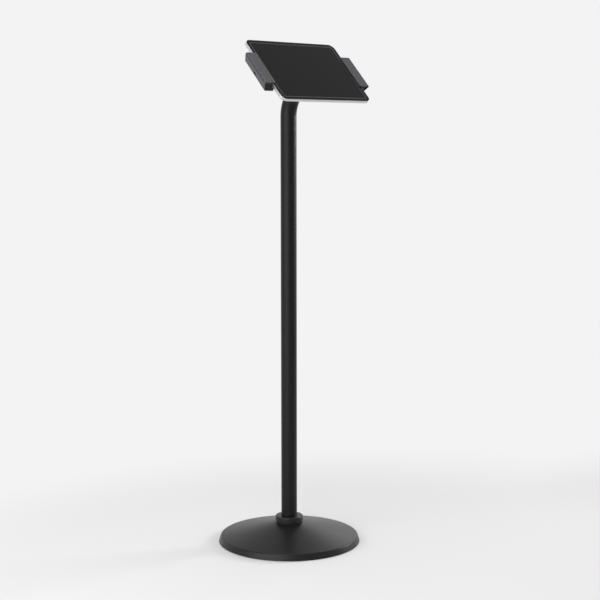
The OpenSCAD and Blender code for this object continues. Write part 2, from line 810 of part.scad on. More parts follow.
// Core with the channel that takes the fork from behind, before the cover goes on
module jaw_core() {
    channel_h = rail_front + pin_fit - cover_back;
    difference() {
        along_edge(jaw_l - 2 * core_inset) core_section();
        lift(cover_back - cut_past) linear_extrude(channel_h + cut_past) {
            fork_outline(pin_fit);
            translate([-bridge_outer, -guide_out_y - pin_fit])
                square([bridge_outer - leg_inner + cut_past, guide_out_y + rack_back_y + 2 * pin_fit]);
        }
        rail_screw_places() cylinder(r = rail_screw_r + pin_fit, h = rail_screw_l + screw_end_room);
    }
}

module jaw_lining() {
    bed = -groove_bottom + lining_t;
    rear_edge = -leg_inner - lining_edge;
    lip_edge = -lip_inner - lining_edge;
    along_edge(jaw_l - 2 * lining_inset) polygon([
        [-groove_bottom, groove_back], [rear_edge, groove_back], [rear_edge, groove_back + lining_t],
        [bed, groove_back + lining_t], [bed, groove_front - lining_t],
        [lip_edge, groove_front - lining_t], [lip_edge, groove_front], [-groove_bottom, groove_front]]);
}

module left_rail() { color(steel) head() rail(); }
module right_rail() { color(steel) head() rotate(180) rail(); }
module left_rail_screws() { color(steel) head() rail_screws(); }
module right_rail_screws() { color(steel) head() rotate(180) rail_screws(); }
module left_lining() { color(rubber) head() jaw_lining(); }
module right_lining() { color(rubber) head() rotate(180) jaw_lining(); }
module right_jaw() { color(jaw_grey) head() rotate(180) along_edge(jaw_l) cover_section(); }
module right_core() { color(black) head() rotate(180) jaw_core(); }

// Cutter for the release plunger's recess, round in front and open to the rear
module recess() {
    outside = -jaw_outer - cut_past;
    back = jaw_back - cut_past;
    lift(plunger_z) bar_x(recess_r, outside, -recess_x);
    translate([outside, -recess_r, back]) cube([-recess_x - outside, recess_d, plunger_z - back]);
}

module left_jaw() {
    color(jaw_grey) head() difference() {
        along_edge(jaw_l) cover_section();
        recess();
    }
}

module left_core() {
    color(black) head() difference() {
        jaw_core();
        recess();
        lift(plunger_z) bar_x(plunger_r + pin_fit, -jaw_outer, -plunger_bore_x);
    }
}

module release_plunger() {
    slot_h = plunger_r * 1.2;
    color(rubber) head() lift(plunger_z) difference() {
        bar_x(plunger_r, -plunger_head_x, -plunger_end_x);
        translate([-plunger_head_x - cut_past, -key_slot_w / 2, -slot_h / 2])
            cube([cut_past + key_slot_depth, key_slot_w, slot_h]);
    }
}

module release_spring() {
    color(steel) head() lift(plunger_z) translate([-plunger_end_x, 0, 0]) rotate([0, 90, 0])
        ring(plunger_r - spring_play, plunger_r - spring_play - spring_wall, plunger_end_x - plunger_bore_x);
}

module tablet_case() {
    tray = 2 * tray_wall;
    seat = 2 * glass_inset;
    color(silver) head() lift(tablet_back) difference() {
        rounded_plate(tablet_l, tablet_w, tablet_r, tablet_t);
        lift(tray_wall) rounded_plate(tablet_l - tray, tablet_w - tray, tablet_r - tray_wall, tablet_t);
        lift(tablet_t - glass_t)
            rounded_plate(tablet_l - seat, tablet_w - seat, tablet_r - glass_inset, glass_t + cut_past);
    }
}

module tablet_core() {
    inset = tray_wall + pin_fit;
    thickness = tablet_t - glass_t - tray_wall;
    color(black) head() lift(tablet_back + tray_wall)
        rounded_plate(tablet_l - 2 * inset, tablet_w - 2 * inset, tablet_r - inset, thickness);
}

module tablet_glass() {
    inset = glass_inset + pin_fit;
    color(glass_black) head() lift(glass_front - glass_t)
        rounded_plate(tablet_l - 2 * inset, tablet_w - 2 * inset, tablet_r - inset, glass_t);
}

module tablet_camera() {
    lens_depth = 0.4;
    lens_d = camera_d * 0.6;
    corner = [tablet_l / 2 - camera_inset, tablet_w / 2 - camera_inset, tablet_back - camera_h];
    color(black) head() translate(corner) difference() {
        cylinder(d = camera_d, h = camera_h);
        lift(-cut_past) cylinder(d = lens_d, h = cut_past + lens_depth);
    }
}

base_shell();
base_weight();
base_underplate();
underplate_screws();
floor_ring();
base_bolt();
base_washer();
pole_spigot();
collar_gasket();
collar();
collar_grub_screws();
pole_tube();
neck_plug();
tilt_bolt();
tilt_nut();
tilt_washers();
tilt_knuckle();
swivel_disc();
swivel_bolt();
swivel_washer();
clamp_housing();
clamp_front_plate();
clamp_pad();
housing_screws();
pinion();
return_spring();
left_rail();
left_rail_screws();
left_jaw();
left_core();
left_lining();
release_plunger();
release_spring();
right_rail();
right_rail_screws();
right_jaw();
right_core();
right_lining();
tablet_case();
tablet_core();
tablet_glass();
tablet_camera();
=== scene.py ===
"""Dresses the tablet floor stand: its visible pieces, their finishes and a plain studio.

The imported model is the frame. Sizes come from its boxes and joints, and the others are the
properties below, in metres. Pieces of the head are modelled in the head's own frame: its
origin is the tilt pivot, X runs across the tablet, Y up its slope and Z out of the screen.
"""
import json
import math

import bmesh
import bpy
from bpy.props import FloatProperty, FloatVectorProperty, IntProperty, PointerProperty
from mathutils import Matrix, Quaternion, Vector


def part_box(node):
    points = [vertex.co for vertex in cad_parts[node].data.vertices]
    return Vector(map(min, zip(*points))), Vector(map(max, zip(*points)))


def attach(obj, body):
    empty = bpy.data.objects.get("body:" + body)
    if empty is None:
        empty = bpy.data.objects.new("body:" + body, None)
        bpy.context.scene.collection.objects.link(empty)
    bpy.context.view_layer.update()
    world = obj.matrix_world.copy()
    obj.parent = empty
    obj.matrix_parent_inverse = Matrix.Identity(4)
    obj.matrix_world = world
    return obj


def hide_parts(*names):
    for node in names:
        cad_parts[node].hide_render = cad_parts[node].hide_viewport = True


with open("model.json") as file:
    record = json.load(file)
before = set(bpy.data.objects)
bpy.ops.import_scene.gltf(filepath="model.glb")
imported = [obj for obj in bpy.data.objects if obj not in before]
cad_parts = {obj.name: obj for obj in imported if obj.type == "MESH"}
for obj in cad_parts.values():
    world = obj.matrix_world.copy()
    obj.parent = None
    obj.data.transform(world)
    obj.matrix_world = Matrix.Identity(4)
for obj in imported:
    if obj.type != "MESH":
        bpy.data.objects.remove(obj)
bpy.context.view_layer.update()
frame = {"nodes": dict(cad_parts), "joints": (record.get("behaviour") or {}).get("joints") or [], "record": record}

bl_info = {
    "name": "Tablet floor stand",
    "version": (1, 0, 0),
    "blender": (4, 5, 0),
    "location": "View3D > Sidebar > Stand",
    "description": "Builds the visible pieces, finishes and studio of a tablet floor stand",
    "category": "Object",
}

MM = 0.001
TINY = 1e-6

# How far a cutter reaches past a face that it opens
PAST = MM

# Share of a half width that rounds an end almost fully, so that its two roundings don't meet
FULL_ROUND = 0.999

# Angles between faces from which soften rounds an edge, and from which an edge is shaded sharp
ROUNDED_FROM = math.radians(40)
SHARP_FROM = math.radians(35)

# Turns the head's left side onto its right side
HALF_TURN = Matrix.Rotation(math.pi, 4, "Z")

# Head frame, from the two hinges of the head
JOINTS = {joint["name"]: joint for joint in frame["joints"]}
PIVOT = Vector(JOINTS["tilt"]["pos_m"])
ACROSS = Vector(JOINTS["tilt"]["axis"])
OUTWARD = Vector(JOINTS["swivel"]["axis"])
HEAD = Matrix((ACROSS, OUTWARD.cross(ACROSS), OUTWARD)).transposed().to_4x4()
HEAD.translation = PIVOT
SLOPE = math.atan2(-OUTWARD.y, OUTWARD.z)


def head_points(node):
    """Points of a CAD node, in the head's own frame."""
    to_head = HEAD.inverted()
    return [to_head @ vert.co for vert in frame["nodes"][node].data.vertices]


def head_box(node):
    """Lowest and highest corner of a CAD node, in the head's own frame."""
    points = head_points(node)
    return Vector(map(min, *points)), Vector(map(max, *points))


# Properties

def length(name, description, millimetres):
    """A length whose default is given in millimetres."""
    return FloatProperty(name=name, description=description, default=millimetres * MM,
                         unit="LENGTH", precision=5)


def angle(name, description, degrees):
    """An angle whose default is given in degrees."""
    return FloatProperty(name=name, description=description, default=math.radians(degrees),
                         subtype="ANGLE")


def factor(name, description, default):
    """A share, or a light level of which 1 shows as white."""
    return FloatProperty(name=name, description=description, default=default, subtype="FACTOR")


def cosine(name, description, default):
    """A limit on the cosine of the angle off the studio's pale side."""
    return FloatProperty(name=name, description=description, default=default, min=-1, max=1)


def colour(name, description, *rgb):
    """A colour in linear light."""
    return FloatVectorProperty(name=name, description=description, default=rgb, size=3,
                               min=0, max=1, subtype="COLOR")


class STAND_PG_base(bpy.types.PropertyGroup):
    """Sizes of the base and of the collar at the pole's foot"""
    rim_lean: length("Rim lean", "How far the rim leans in between its two edges", 4.5)
    rim_height: length("Rim height", "Height of the rim's upper edge above the floor", 14)
    rim_round: length("Rim round", "Radius of the rounding on the rim's upper edge", 3)
    lower_round: length("Lower round", "Radius of the shell's lower outer edge", 0.6)
    boss_margin: length("Boss margin", "Flat top that shows around the collar", 1.5)
    boss_round: length("Boss round", "Radius where the flat top runs into the cone", 12)
    wall: length("Wall", "Sheet thickness of the shell", 2.5)
    hole_room: length("Hole room", "Room around the pole in the shell and the gasket", 0.3)
    ring_width: length("Floor ring", "Radial width of the rubber ring", 22)
    grooves: IntProperty(name="Tread grooves", description="Number of grooves in the rubber ring",
                         default=3, min=1)
    groove_width: length("Tread groove", "Width of a groove in the rubber ring", 1.6)
    groove_depth: length("Tread depth", "Depth of a groove in the rubber ring", 0.6)
    collar_bore: length("Collar room", "Room between the pole and the collar's bore", 0.05)
    shoulder: length("Shoulder", "Radius of the collar's rounded shoulder", 2.2)
    collar_edge: length("Collar edge", "Radius of the collar's lower edge", 1)
    collar_groove: length("Collar groove", "Width of the groove around the collar", 1)
    collar_groove_down: length("Groove down", "Distance from the collar's top to its groove", 3.2)
    collar_groove_depth: length("Groove depth", "Depth of the groove around the collar", 0.7)
    gasket_inset: length("Gasket inset", "How far the gasket stays behind the collar's side", 1.6)
    gasket_edge: length("Gasket edge", "Radius of the gasket's edges", 0.4)
    grub_radius: length("Grub bore", "Radius of a grub screw's bore", 2.55)


class STAND_PG_pole(bpy.types.PropertyGroup):
    """Sizes of the pole tube and of the tilt joint on its end"""
    wall: length("Wall", "Wall of the pole tube", 2)
    bend_radius: length("Bend radius", "Radius of the bend on the tube's centre line", 70)
    plug_flange: length("Plug flange", "Thickness of the plug's flange", 3)
    plug_room: length("Plug room", "Room between the plug and the tube's bore", 0.05)
    lug_radius: length("Lug radius", "Radius of the tilt lugs", 10.5)
    ear_gap: length("Ear gap", "Distance from the tongue to each ear", 0.65)
    ear: length("Ear", "Thickness of each ear", 6)
    tongue: length("Tongue", "Width of the tongue between the ears", 15)
    pin: length("Pin", "Radius of the tilt and swivel bolts' shanks", 4)
    pin_room: length("Pin room", "Room around a bolt's shank", 0.05)
    bolt_head: length("Bolt head", "Radius of the tilt bolt's head", 6.5)
    bolt_head_height: length("Bolt head height", "Height of the tilt bolt's head", 5)
    socket: length("Socket", "Corner radius of the bolt's hexagon socket", 3)
    socket_depth: length("Socket depth", "Depth of the bolt's hexagon socket", 3)
    nut: length("Nut", "Corner radius of the nut's hexagon", 7)
    flange: length("Swivel flange", "Thickness of the swivel flange", 4.5)
    swivel_bite: length("Swivel bite", "Depth of the swivel bolt's hole", 8)
    edge: length("Edge", "Rounding of the cast pieces' edges", 0.7)


class STAND_PG_clamp(bpy.types.PropertyGroup):
    """Sizes of the clamp's housing and jaws"""
    corner: length("Corner", "Corner radius of the housing", 14)
    wall: length("Wall", "Wall of the housing", 2)
    back_round: length("Back round", "Rounding of the housing's rear edge", 1.8)
    plate_edge: length("Plate edge", "Rounding of the front plate's edge", 0.4)
    pad_corner: length("Pad corner", "Corner radius of the rubber facing", 7)
    pad_edge: length("Pad edge", "Rounding of the rubber facing's edge", 0.2)
    slide_gap: length("Slide gap", "Gap around the prongs in their slots", 0.3)
    seat_gap: length("Seat gap", "Gap around a piece in its seat", 0.05)
    rack_width: length("Rack prong", "Width of the toothed prong behind its teeth", 8)
    guide_width: length("Guide prong", "Width of the plain guide prong", 7)
    tooth: length("Tooth", "Height of the rack's teeth", 2.1)
    bridge_over: length("Bridge", "How far the fork's bridge reaches beyond the tablet's edge", 3)
    lip_over: length("Lip", "How far the front lip reaches over the tablet", 5.5)
    lining: length("Lining", "Thickness of the rubber lining", 1)
    lining_back: length("Lining edge", "How far the lining stays behind the jaw's edges", 0.4)
    lining_round: length("Lining round", "Rounding of the lining's edges", 0.25)
    lean: length("Jaw lean", "How far the jaw's outer face leans in towards its rear edge", 11.9)
    front_round: length("Front round", "Radius of the jaw's outer front edge", 4)
    rear_round: length("Rear round", "Radius of the jaw's outer rear edge", 2)
    lip_round: length("Lip round", "Radius of the front lip's edge", 1)
    # Lip faces that point inwards more than this share are painted black, as painted shade along the lip's inner
    # edge
    lip_shade_from: factor("Black lip", "How far a face of the lip points inwards before it is black", 0.4)
    edge: length("Edge", "Rounding of the cover's other edges", 0.6)
    core_edge: length("Core edge", "Rounding of the core's edges", 0.3)
    recess_radius: length("Recess", "Half width of the release plunger's recess", 3.5)
    plunger_stand: length("Plunger stand", "How far the plunger stands out of its recess's floor", 1)
    plunger_play: length("Plunger play", "Gap around the release plunger", 0.05)


class STAND_PG_tablet(bpy.types.PropertyGroup):
    """Sizes of the tablet"""
    corner: length("Corner", "Corner radius of the tablet", 14)
    back_round: length("Back round", "Rounding of the rear edge", 1.6)
    front_round: length("Front round", "Rounding of the metal's front edge", 0.25)
    tray: length("Tray wall", "Wall of the metal tray", 1)
    rim: length("Metal rim", "Width of the metal edge around the glass", 0.7)
    glass_round: length("Glass round", "Rounding of the glass's front edge", 0.35)
    bezel: length("Bezel", "Width of the black border around the display", 6)
    border_line: length("Border line", "Width of the faint line around the display", 2.6)
    lens_share: factor("Lens share", "Lens diameter as a share of the camera's", 0.6)
    lens_depth: length("Lens depth", "How far the lens sits below the camera's rim", 0.25)


class STAND_PG_finish(bpy.types.PropertyGroup):
    """Colours of the finishes"""
    powder: colour("Powder coat", "Satin black coat on the base", 0.01, 0.01, 0.0103)
    tube: colour("Tube coat", "Satin black coat on the pole", 0.004, 0.004, 0.0042)
    alloy: colour("Black alloy", "Black anodised collar and joint pieces", 0.007, 0.007, 0.0073)
    plastic: colour("Black plastic", "Moulded black plastic", 0.005, 0.005, 0.0053)
    jaw: colour("Jaw plastic", "Moulded grey plastic of the jaws", 0.066, 0.067, 0.074)
    rubber: colour("Rubber", "Floor ring, gasket and linings", 0.012, 0.012, 0.012)
    zinc: colour("Zinc", "Plated steel rails and fasteners", 0.52, 0.53, 0.55)
    silver: colour("Silver", "Blasted aluminium of the tablet", 0.6, 0.61, 0.62)
    iron: colour("Iron", "Raw cast ballast", 0.16, 0.155, 0.15)
    display: colour("Display", "Display that is switched off", 0.004, 0.004, 0.0045)
    bezel: colour("Bezel", "Black border around the display", 0.0025, 0.0025, 0.003)
    border: colour("Border line", "Faint line around the display", 0.055, 0.055, 0.055)


class STAND_PG_stage(bpy.types.PropertyGroup):
    """Camera, floor, backdrop and the lamps' aim"""
    view_side: angle("View side", "Side that the camera stands on, from the screen's side", 40.18)
    view_distance: length("View distance", "Level distance of the camera from the pole", 2910)
    view_height: length("View height", "Height of the camera above the floor", 885)
    view_turn: angle("View turn", "How far the camera turns off the pole", 0.484)
    view_dip: angle("View dip", "How far the camera looks down", 6.713)
    view_roll: angle("View roll", "How far the camera leans about its own axis", -0.048)
    view_lens: FloatProperty(name="View lens", description="Focal length on a 36 mm sensor, in mm",
                             default=79.97)
    floor_size: length("Floor size", "Radius of the floor", 30000)
    floor_near: length("Floor near", "Radius of floor that is plainly lit", 540)
    floor_far: length("Floor far", "Radius where the floor has run into the backdrop", 1300)
    floor_lead: factor("Floor lead", "How much sooner the floor meets the backdrop behind the pole", 0.5)
    floor_albedo: factor("Floor colour", "How much light the floor sends back", 0.8)
    level_behind: factor("Level behind", "Backdrop's level behind the object", 0.896)
    level_before: factor("Level before", "Backdrop's level on the dark side", 0.55)
    level_above: factor("Level above", "Level overhead", 0.22)
    dark_side: angle("Dark side", "Side of the studio that stays dark, from the screen's side", 4)
    dark_until: cosine("Dark until", "Cosine up to which the backdrop is dark", 0.0)
    pale_from: cosine("Pale from", "Cosine from which the backdrop is palest", 0.6)
    haze_dark_until: cosine("Haze dark until", "Cosine up to which the far floor is dark", -0.5)
    haze_pale_from: cosine("Haze pale from", "Cosine from which the far floor is palest", 0.2)
    wall_low: factor("Wall low", "Sine of the rise at which the backdrop starts to fade upwards", 0.12)
    wall_high: factor("Wall high", "Sine of the rise at which the backdrop has faded", 1.0)
    lamp_aim: length("Lamp aim", "Height on the pole that the lamps look at", 700)


def lamp_settings(side, rise, distance, width, height, level):
    """The properties that each lamp has, with one lamp's own defaults."""
    return {
        "side": angle("Side", "Side that the lamp stands on, from the screen's side", side),
        "rise": angle("Rise", "How far the lamp stands above its aim", rise),
        "distance": length("Distance", "Distance of the lamp from its aim", distance),
        "width": length("Width", "Width of the lamp", width),
        "height": length("Height", "Height of the lamp", height),
        "level": factor("Level", "Level of the lamp's face", level),
    }


class STAND_PG_key_lamp(bpy.types.PropertyGroup):
    """Broad soft lamp to the left of the camera"""
    __annotations__ = lamp_settings(side=74, rise=6, distance=2300, width=2500, height=1900, level=2.4)


class STAND_PG_top_lamp(bpy.types.PropertyGroup):
    """Soft lamp overhead, a little behind the pole"""
    __annotations__ = lamp_settings(side=220, rise=80, distance=2600, width=1600, height=1600, level=2.2)


class STAND_PG_right_lamp(bpy.types.PropertyGroup):
    """Smaller lamp to the right of the camera, whose shadows fall to the left"""
    __annotations__ = lamp_settings(side=-74, rise=13, distance=4500, width=1400, height=1400, level=17.5)


class STAND_PG_rear_lamp(bpy.types.PropertyGroup):
    """Weak lamp to the right and behind, which grazes the base"""
    __annotations__ = lamp_settings(side=-120, rise=20, distance=4500, width=1400, height=1400, level=1.7)


class STAND_PG_front_lamp(bpy.types.PropertyGroup):
    """Soft lamp high to the left of the screen's side"""
    __annotations__ = lamp_settings(side=65, rise=60, distance=2600, width=1500, height=1500, level=3.2)


# Modelling

def sew(bm):
    """Merges doubled points and turns the faces outwards."""
    bmesh.ops.remove_doubles(bm, verts=bm.verts, dist=TINY)
    bmesh.ops.recalc_face_normals(bm, faces=bm.faces)
    return bm


def flat_face(bm, corners, segments):
    """Adds one face through corners, each a point and the radius that rounds it."""
    points = [Vector(point) for point, radius in corners]
    verts = [bm.verts.new(point) for point in points]
    bm.faces.new(verts)
    for i, (point, radius) in enumerate(corners):
        if radius:
            before = points[i - 1] - points[i]
            after = points[(i + 1) % len(points)] - points[i]
            reach = radius / math.tan(before.angle(after) / 2)
            bmesh.ops.bevel(bm, geom=[verts[i]], offset=reach, offset_type="OFFSET",
                            affect="VERTICES", segments=segments, profile=0.5, material=-1)


def turned(corners, steps=96, segments=6):
    """A solid turned about Z from a closed profile of (radius, height, rounding)."""
    bm = bmesh.new()
    flat_face(bm, [((radius, 0, height), rounding) for radius, height, rounding in corners], segments)
    on_axis = [edge for edge in bm.edges if max(vert.co.x for vert in edge.verts) < TINY]
    bmesh.ops.delete(bm, geom=bm.faces[:], context="FACES_ONLY")
    bmesh.ops.delete(bm, geom=on_axis, context="EDGES")
    bmesh.ops.spin(bm, geom=bm.verts[:] + bm.edges[:], cent=(0, 0, 0), axis=(0, 0, 1),
                   angle=math.tau, steps=steps, use_merge=True)
    return sew(bm)


def moved_verts(result):
    """Points that an extrusion made."""
    return [item for item in result["geom"] if isinstance(item, bmesh.types.BMVert)]


def prism(corners, travel, segments=6):
    """A solid swept along travel from a flat outline of (point, rounding)."""
    bm = bmesh.new()
    flat_face(bm, corners, segments)
    swept = bmesh.ops.extrude_face_region(bm, geom=bm.faces[:])
    bmesh.ops.translate(bm, verts=moved_verts(swept), vec=travel)
    return sew(bm)


def plate(low, high, corner, segments=10):
    """A rounded rectangle between two corners of its box."""
    outline = [((low.x, low.y, low.z), corner), ((high.x, low.y, low.z), corner),
               ((high.x, high.y, low.z), corner), ((low.x, high.y, low.z), corner)]
    return prism(outline, (0, 0, high.z - low.z), segments)


def block(low, high):
    """A box between two corners."""
    bm = bmesh.new()
    size = Vector(high) - Vector(low)
    middle = (Vector(high) + Vector(low)) / 2
    bmesh.ops.create_cube(bm, size=1, matrix=Matrix.Translation(middle) @ Matrix.Diagonal((*size, 1)))
    return bm


def bar(start, end, radius, sides=48):
    """A round or many-sided bar between two points."""
    bm = bmesh.new()
    run = Vector(end) - Vector(start)
    turn = run.to_track_quat("Z", "Y").to_matrix().to_4x4()
    bmesh.ops.create_cone(bm, cap_ends=True, cap_tris=False, segments=sides, radius1=radius,
                          radius2=radius, depth=run.length,
                          matrix=Matrix.Translation(Vector(start) + run / 2) @ turn)
    return bm


def soften(bm, width, where=None, segments=3):
    """Rounds the sharp edges, or those of them whose two ends pass a test."""
    edges = [edge for edge in bm.edges if edge.is_convex and edge.calc_face_angle(0) > ROUNDED_FROM
             and (where is None or all(where(vert.co) for vert in edge.verts))]
    bmesh.ops.bevel(bm, geom=edges, offset=width, offset_type="OFFSET", affect="EDGES",
                    segments=segments, profile=0.5, material=-1, clamp_overlap=True)
    return bm


def at_height(height):
    """A test for soften that passes points at one height."""
    return lambda point: abs(point.z - height) < TINY


def placed(bm, matrix):
    bmesh.ops.transform(bm, matrix=matrix, verts=bm.verts)
    return bm


def combined(bm, tool, operation):
    """The first solid joined with, cut by or cut down to the second one."""
    shapes = []
    for part in (bm, tool):
        mesh = bpy.data.meshes.new("cutting")
        part.to_mesh(mesh)
        part.free()
        shapes.append(bpy.data.objects.new("cutting", mesh))
        bpy.context.scene.collection.objects.link(shapes[-1])
    change = shapes[0].modifiers.new("cut", "BOOLEAN")
    change.operation = operation
    change.object = shapes[1]
    change.solver = "EXACT"
    evaluated = shapes[0].evaluated_get(bpy.context.evaluated_depsgraph_get())
    made = bmesh.new()
    made.from_mesh(evaluated.data)
    for shape in shapes:
        bpy.data.meshes.remove(shape.data)
    if not made.faces:
        raise RuntimeError("a cut left nothing of a piece")
    return sew(made)


def cut(bm, *tools):
    for tool in tools:
        bm = combined(bm, tool, "DIFFERENCE")
    return bm


def piece(bm, name, body, node, slot, *finishes):
    """Makes a solid a finished piece that rides on a body and stands for a CAD node."""
    if not bm.faces:
        raise RuntimeError(f"{name} has no faces")
    mesh = bpy.data.meshes.new(name)
    bm.to_mesh(mesh)
    bm.free()
    for finish in finishes:
        mesh.materials.append(finish)
    mesh.shade_smooth()
    mesh.set_sharp_from_angle(angle=SHARP_FROM)
    made = bpy.data.objects.new(name, mesh)
    bpy.context.scene.collection.objects.link(made)
    shading = made.modifiers.new("even_shading", "WEIGHTED_NORMAL")
    shading.keep_sharp = True
    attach(made, body)
    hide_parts(node)
    return made


# Finishes

# Values between which a noise pattern mostly stays
NOISE_RANGE = (0.3, 0.7)

# Roughness that smears vary between, on the tablet's front glass and on its camera's lens
GLASS_GLOSS = (0.06, 0.11)
LENS_GLOSS = (0.03, 0.06)


def value_range(tree, source, before, after, smooth=False):
    """Runs a value from one range into another and returns the result's socket."""
    node = tree.nodes.new("ShaderNodeMapRange")
    node.interpolation_type = "SMOOTHSTEP" if smooth else "LINEAR"
    for name, value in zip(("From Min", "From Max", "To Min", "To Max"), (*before, *after)):
        node.inputs[name].default_value = value
    tree.links.new(source, node.inputs["Value"])
    return node.outputs["Result"]


class Finish:
    """One material: a Principled shader with plain values, and patterns that vary them."""

    def __init__(self, name, **values):
        self.material = bpy.data.materials.new(name)
        self.material.use_nodes = True
        self.tree = self.material.node_tree
        self.nodes, self.links = self.tree.nodes, self.tree.links
        self.shader = self.nodes["Principled BSDF"]
        self.place = self.nodes.new("ShaderNodeTexCoord").outputs["Object"]
        for name, value in values.items():
            self.shader.inputs[name.replace("_", " ")].default_value = value

    def grain(self, scale, detail, stretch=None):
        """A noise pattern of so many spots a metre, which may be stretched in the head's frame."""
        noise = self.nodes.new("ShaderNodeTexNoise")
        noise.inputs["Scale"].default_value = scale
        noise.inputs["Detail"].default_value = detail
        source = self.place
        if stretch:
            turn = self.nodes.new("ShaderNodeMapping")
            turn.vector_type = "TEXTURE"
            turn.inputs["Location"].default_value = PIVOT
            turn.inputs["Rotation"].default_value = (SLOPE, 0, 0)
            turn.inputs["Scale"].default_value = stretch
            self.links.new(source, turn.inputs["Vector"])
            source = turn.outputs["Vector"]
        self.links.new(source, noise.inputs["Vector"])
        return noise.outputs["Fac"]

    def tint(self, pattern, rgb, spread):
        """Colours the surface from a little darker to a little lighter than rgb."""
        ramp = self.nodes.new("ShaderNodeValToRGB")
        for stop, place, share in zip(ramp.color_ramp.elements, NOISE_RANGE, (1 - spread, 1 + spread)):
            stop.position = place
            stop.color = (*(channel * share for channel in rgb), 1)
        self.links.new(pattern, ramp.inputs["Fac"])
        self.links.new(ramp.outputs["Color"], self.shader.inputs["Base Color"])
        return self

    def gloss(self, pattern, low, high):
        """Lets the roughness run between two values."""
        roughness = value_range(self.tree, pattern, NOISE_RANGE, (low, high))
        self.links.new(roughness, self.shader.inputs["Roughness"])
        return self

    def relief(self, pattern, depth, strength):
        """Raises the surface by the pattern, so many metres deep."""
        bump = self.nodes.new("ShaderNodeBump")
        bump.inputs["Distance"].default_value = depth
        bump.inputs["Strength"].default_value = strength
        self.links.new(pattern, bump.inputs["Height"])
        self.links.new(bump.outputs["Normal"], self.shader.inputs["Normal"])
        return self


def satin_coat(name, rgb, shine, low, high):
    """Satin black coat with the orange peel of a baked powder."""
    finish = Finish(name, Specular_IOR_Level=shine)
    finish.tint(finish.grain(scale=16, detail=3), rgb, spread=0.06)
    finish.gloss(finish.grain(scale=500, detail=3), low, high)
    return finish.relief(finish.grain(scale=1300, detail=4), depth=0.0002, strength=0.22).material


def powder_coat(colours):
    """Coat of the base."""
    return satin_coat("satin_powder_coat", colours.powder, shine=0.25, low=0.34, high=0.38)


def pole_coat(colours):
    """Coat of the drawn tube, less glossy than the base's."""
    return satin_coat("satin_tube_coat", colours.tube, shine=0.22, low=0.38, high=0.42)


def black_alloy(colours):
    """Black anodised aluminium with a fine blasted grain."""
    finish = Finish("black_anodised_alloy", Specular_IOR_Level=0.4)
    finish.tint(finish.grain(scale=120, detail=3), colours.alloy, spread=0.1)
    finish.gloss(finish.grain(scale=400, detail=3), low=0.35, high=0.43)
    return finish.relief(finish.grain(scale=2600, detail=3), depth=0.00012, strength=0.2).material


def black_plastic(colours):
    """Moulded black plastic with a fine spark-eroded texture."""
    finish = Finish("black_moulded_plastic", Specular_IOR_Level=0.22)
    finish.tint(finish.grain(scale=90, detail=3), colours.plastic, spread=0.08)
    finish.gloss(finish.grain(scale=300, detail=3), low=0.5, high=0.6)
    return finish.relief(finish.grain(scale=1900, detail=3), depth=0.0002, strength=0.35).material


def jaw_plastic(colours):
    """Moulded grey plastic with a coarser spark-eroded texture."""
    finish = Finish("grey_moulded_plastic", Specular_IOR_Level=0.4)
    finish.tint(finish.grain(scale=420, detail=5), colours.jaw, spread=0.1)
    finish.gloss(finish.grain(scale=300, detail=3), low=0.5, high=0.62)
    return finish.relief(finish.grain(scale=1500, detail=4), depth=0.0003, strength=0.4).material


def rubber(colours):
    """Matte moulded rubber."""
    finish = Finish("matte_rubber", Specular_IOR_Level=0.3)
    finish.tint(finish.grain(scale=150, detail=3), colours.rubber, spread=0.2)
    finish.gloss(finish.grain(scale=500, detail=2), low=0.72, high=0.85)
    return finish.relief(finish.grain(scale=2200, detail=3), depth=0.0002, strength=0.3).material


def zinc_steel(colours):
    """Plated steel with faint rolling marks along the rails."""
    finish = Finish("zinc_plated_steel", Metallic=1.0)
    marks = finish.grain(scale=900, detail=4, stretch=(18, 1, 1))
    finish.tint(finish.grain(scale=70, detail=4), colours.zinc, spread=0.12)
    finish.gloss(marks, low=0.28, high=0.42)
    return finish.relief(marks, depth=0.00005, strength=0.25).material


def cast_iron(colours):
    """Raw cast iron with a sandy skin."""
    finish = Finish("raw_cast_iron", Metallic=0.6, Specular_IOR_Level=0.4)
    finish.tint(finish.grain(scale=45, detail=5), colours.iron, spread=0.35)
    finish.gloss(finish.grain(scale=200, detail=3), low=0.55, high=0.75)
    return finish.relief(finish.grain(scale=700, detail=5), depth=0.0006, strength=0.5).material


def blasted_silver(colours):
    """Bead-blasted, anodised aluminium."""
    finish = Finish("blasted_aluminium", Metallic=1.0)
    finish.tint(finish.grain(scale=500, detail=3), colours.silver, spread=0.03)
    finish.gloss(finish.grain(scale=900, detail=2), low=0.34, high=0.42)
    return finish.relief(finish.grain(scale=5000, detail=2), depth=0.00004, strength=0.25).material


def dark_glass(name, rgb, gloss):
    """Polished black glass with faint smears in its gloss."""
    finish = Finish(name, Specular_IOR_Level=0.42)
    finish.tint(finish.grain(scale=8, detail=4), rgb, spread=0.06)
    return finish.gloss(finish.grain(scale=22, detail=5), *gloss).material


FINISHES = {
    "black_steel": powder_coat,
    "ballast": cast_iron,
    "steel": zinc_steel,
    "black_alloy": black_alloy,
    "black_plastic": black_plastic,
    "grey_plastic": jaw_plastic,
    "rubber": rubber,
    "silver_alloy": blasted_silver,
    "tablet_core": black_plastic,
}
SLOT_OF = {part["node"]: part["material_slot"] for part in frame["record"]["subparts"]}
BODY_OF = {node: body for body, nodes in frame["record"]["behaviour"]["bodies"].items() for node in nodes}
MADE_FINISHES = {}


def finish_of(context, node):
    """The finish of a CAD node's material slot, made once."""
    make = FINISHES[SLOT_OF[node]]
    if make not in MADE_FINISHES:
        MADE_FINISHES[make] = make(context.scene.stand_finish)
    return MADE_FINISHES[make]


def dress(context, bm, node, *finishes):
    """Makes a solid the piece that stands for a CAD node, with the finish of the node's slot."""
    finishes = finishes or (finish_of(context, node),)
    return piece(bm, f"{node}_dressed", BODY_OF[node], node, SLOT_OF[node], *finishes)


# Pieces of the base and the pole

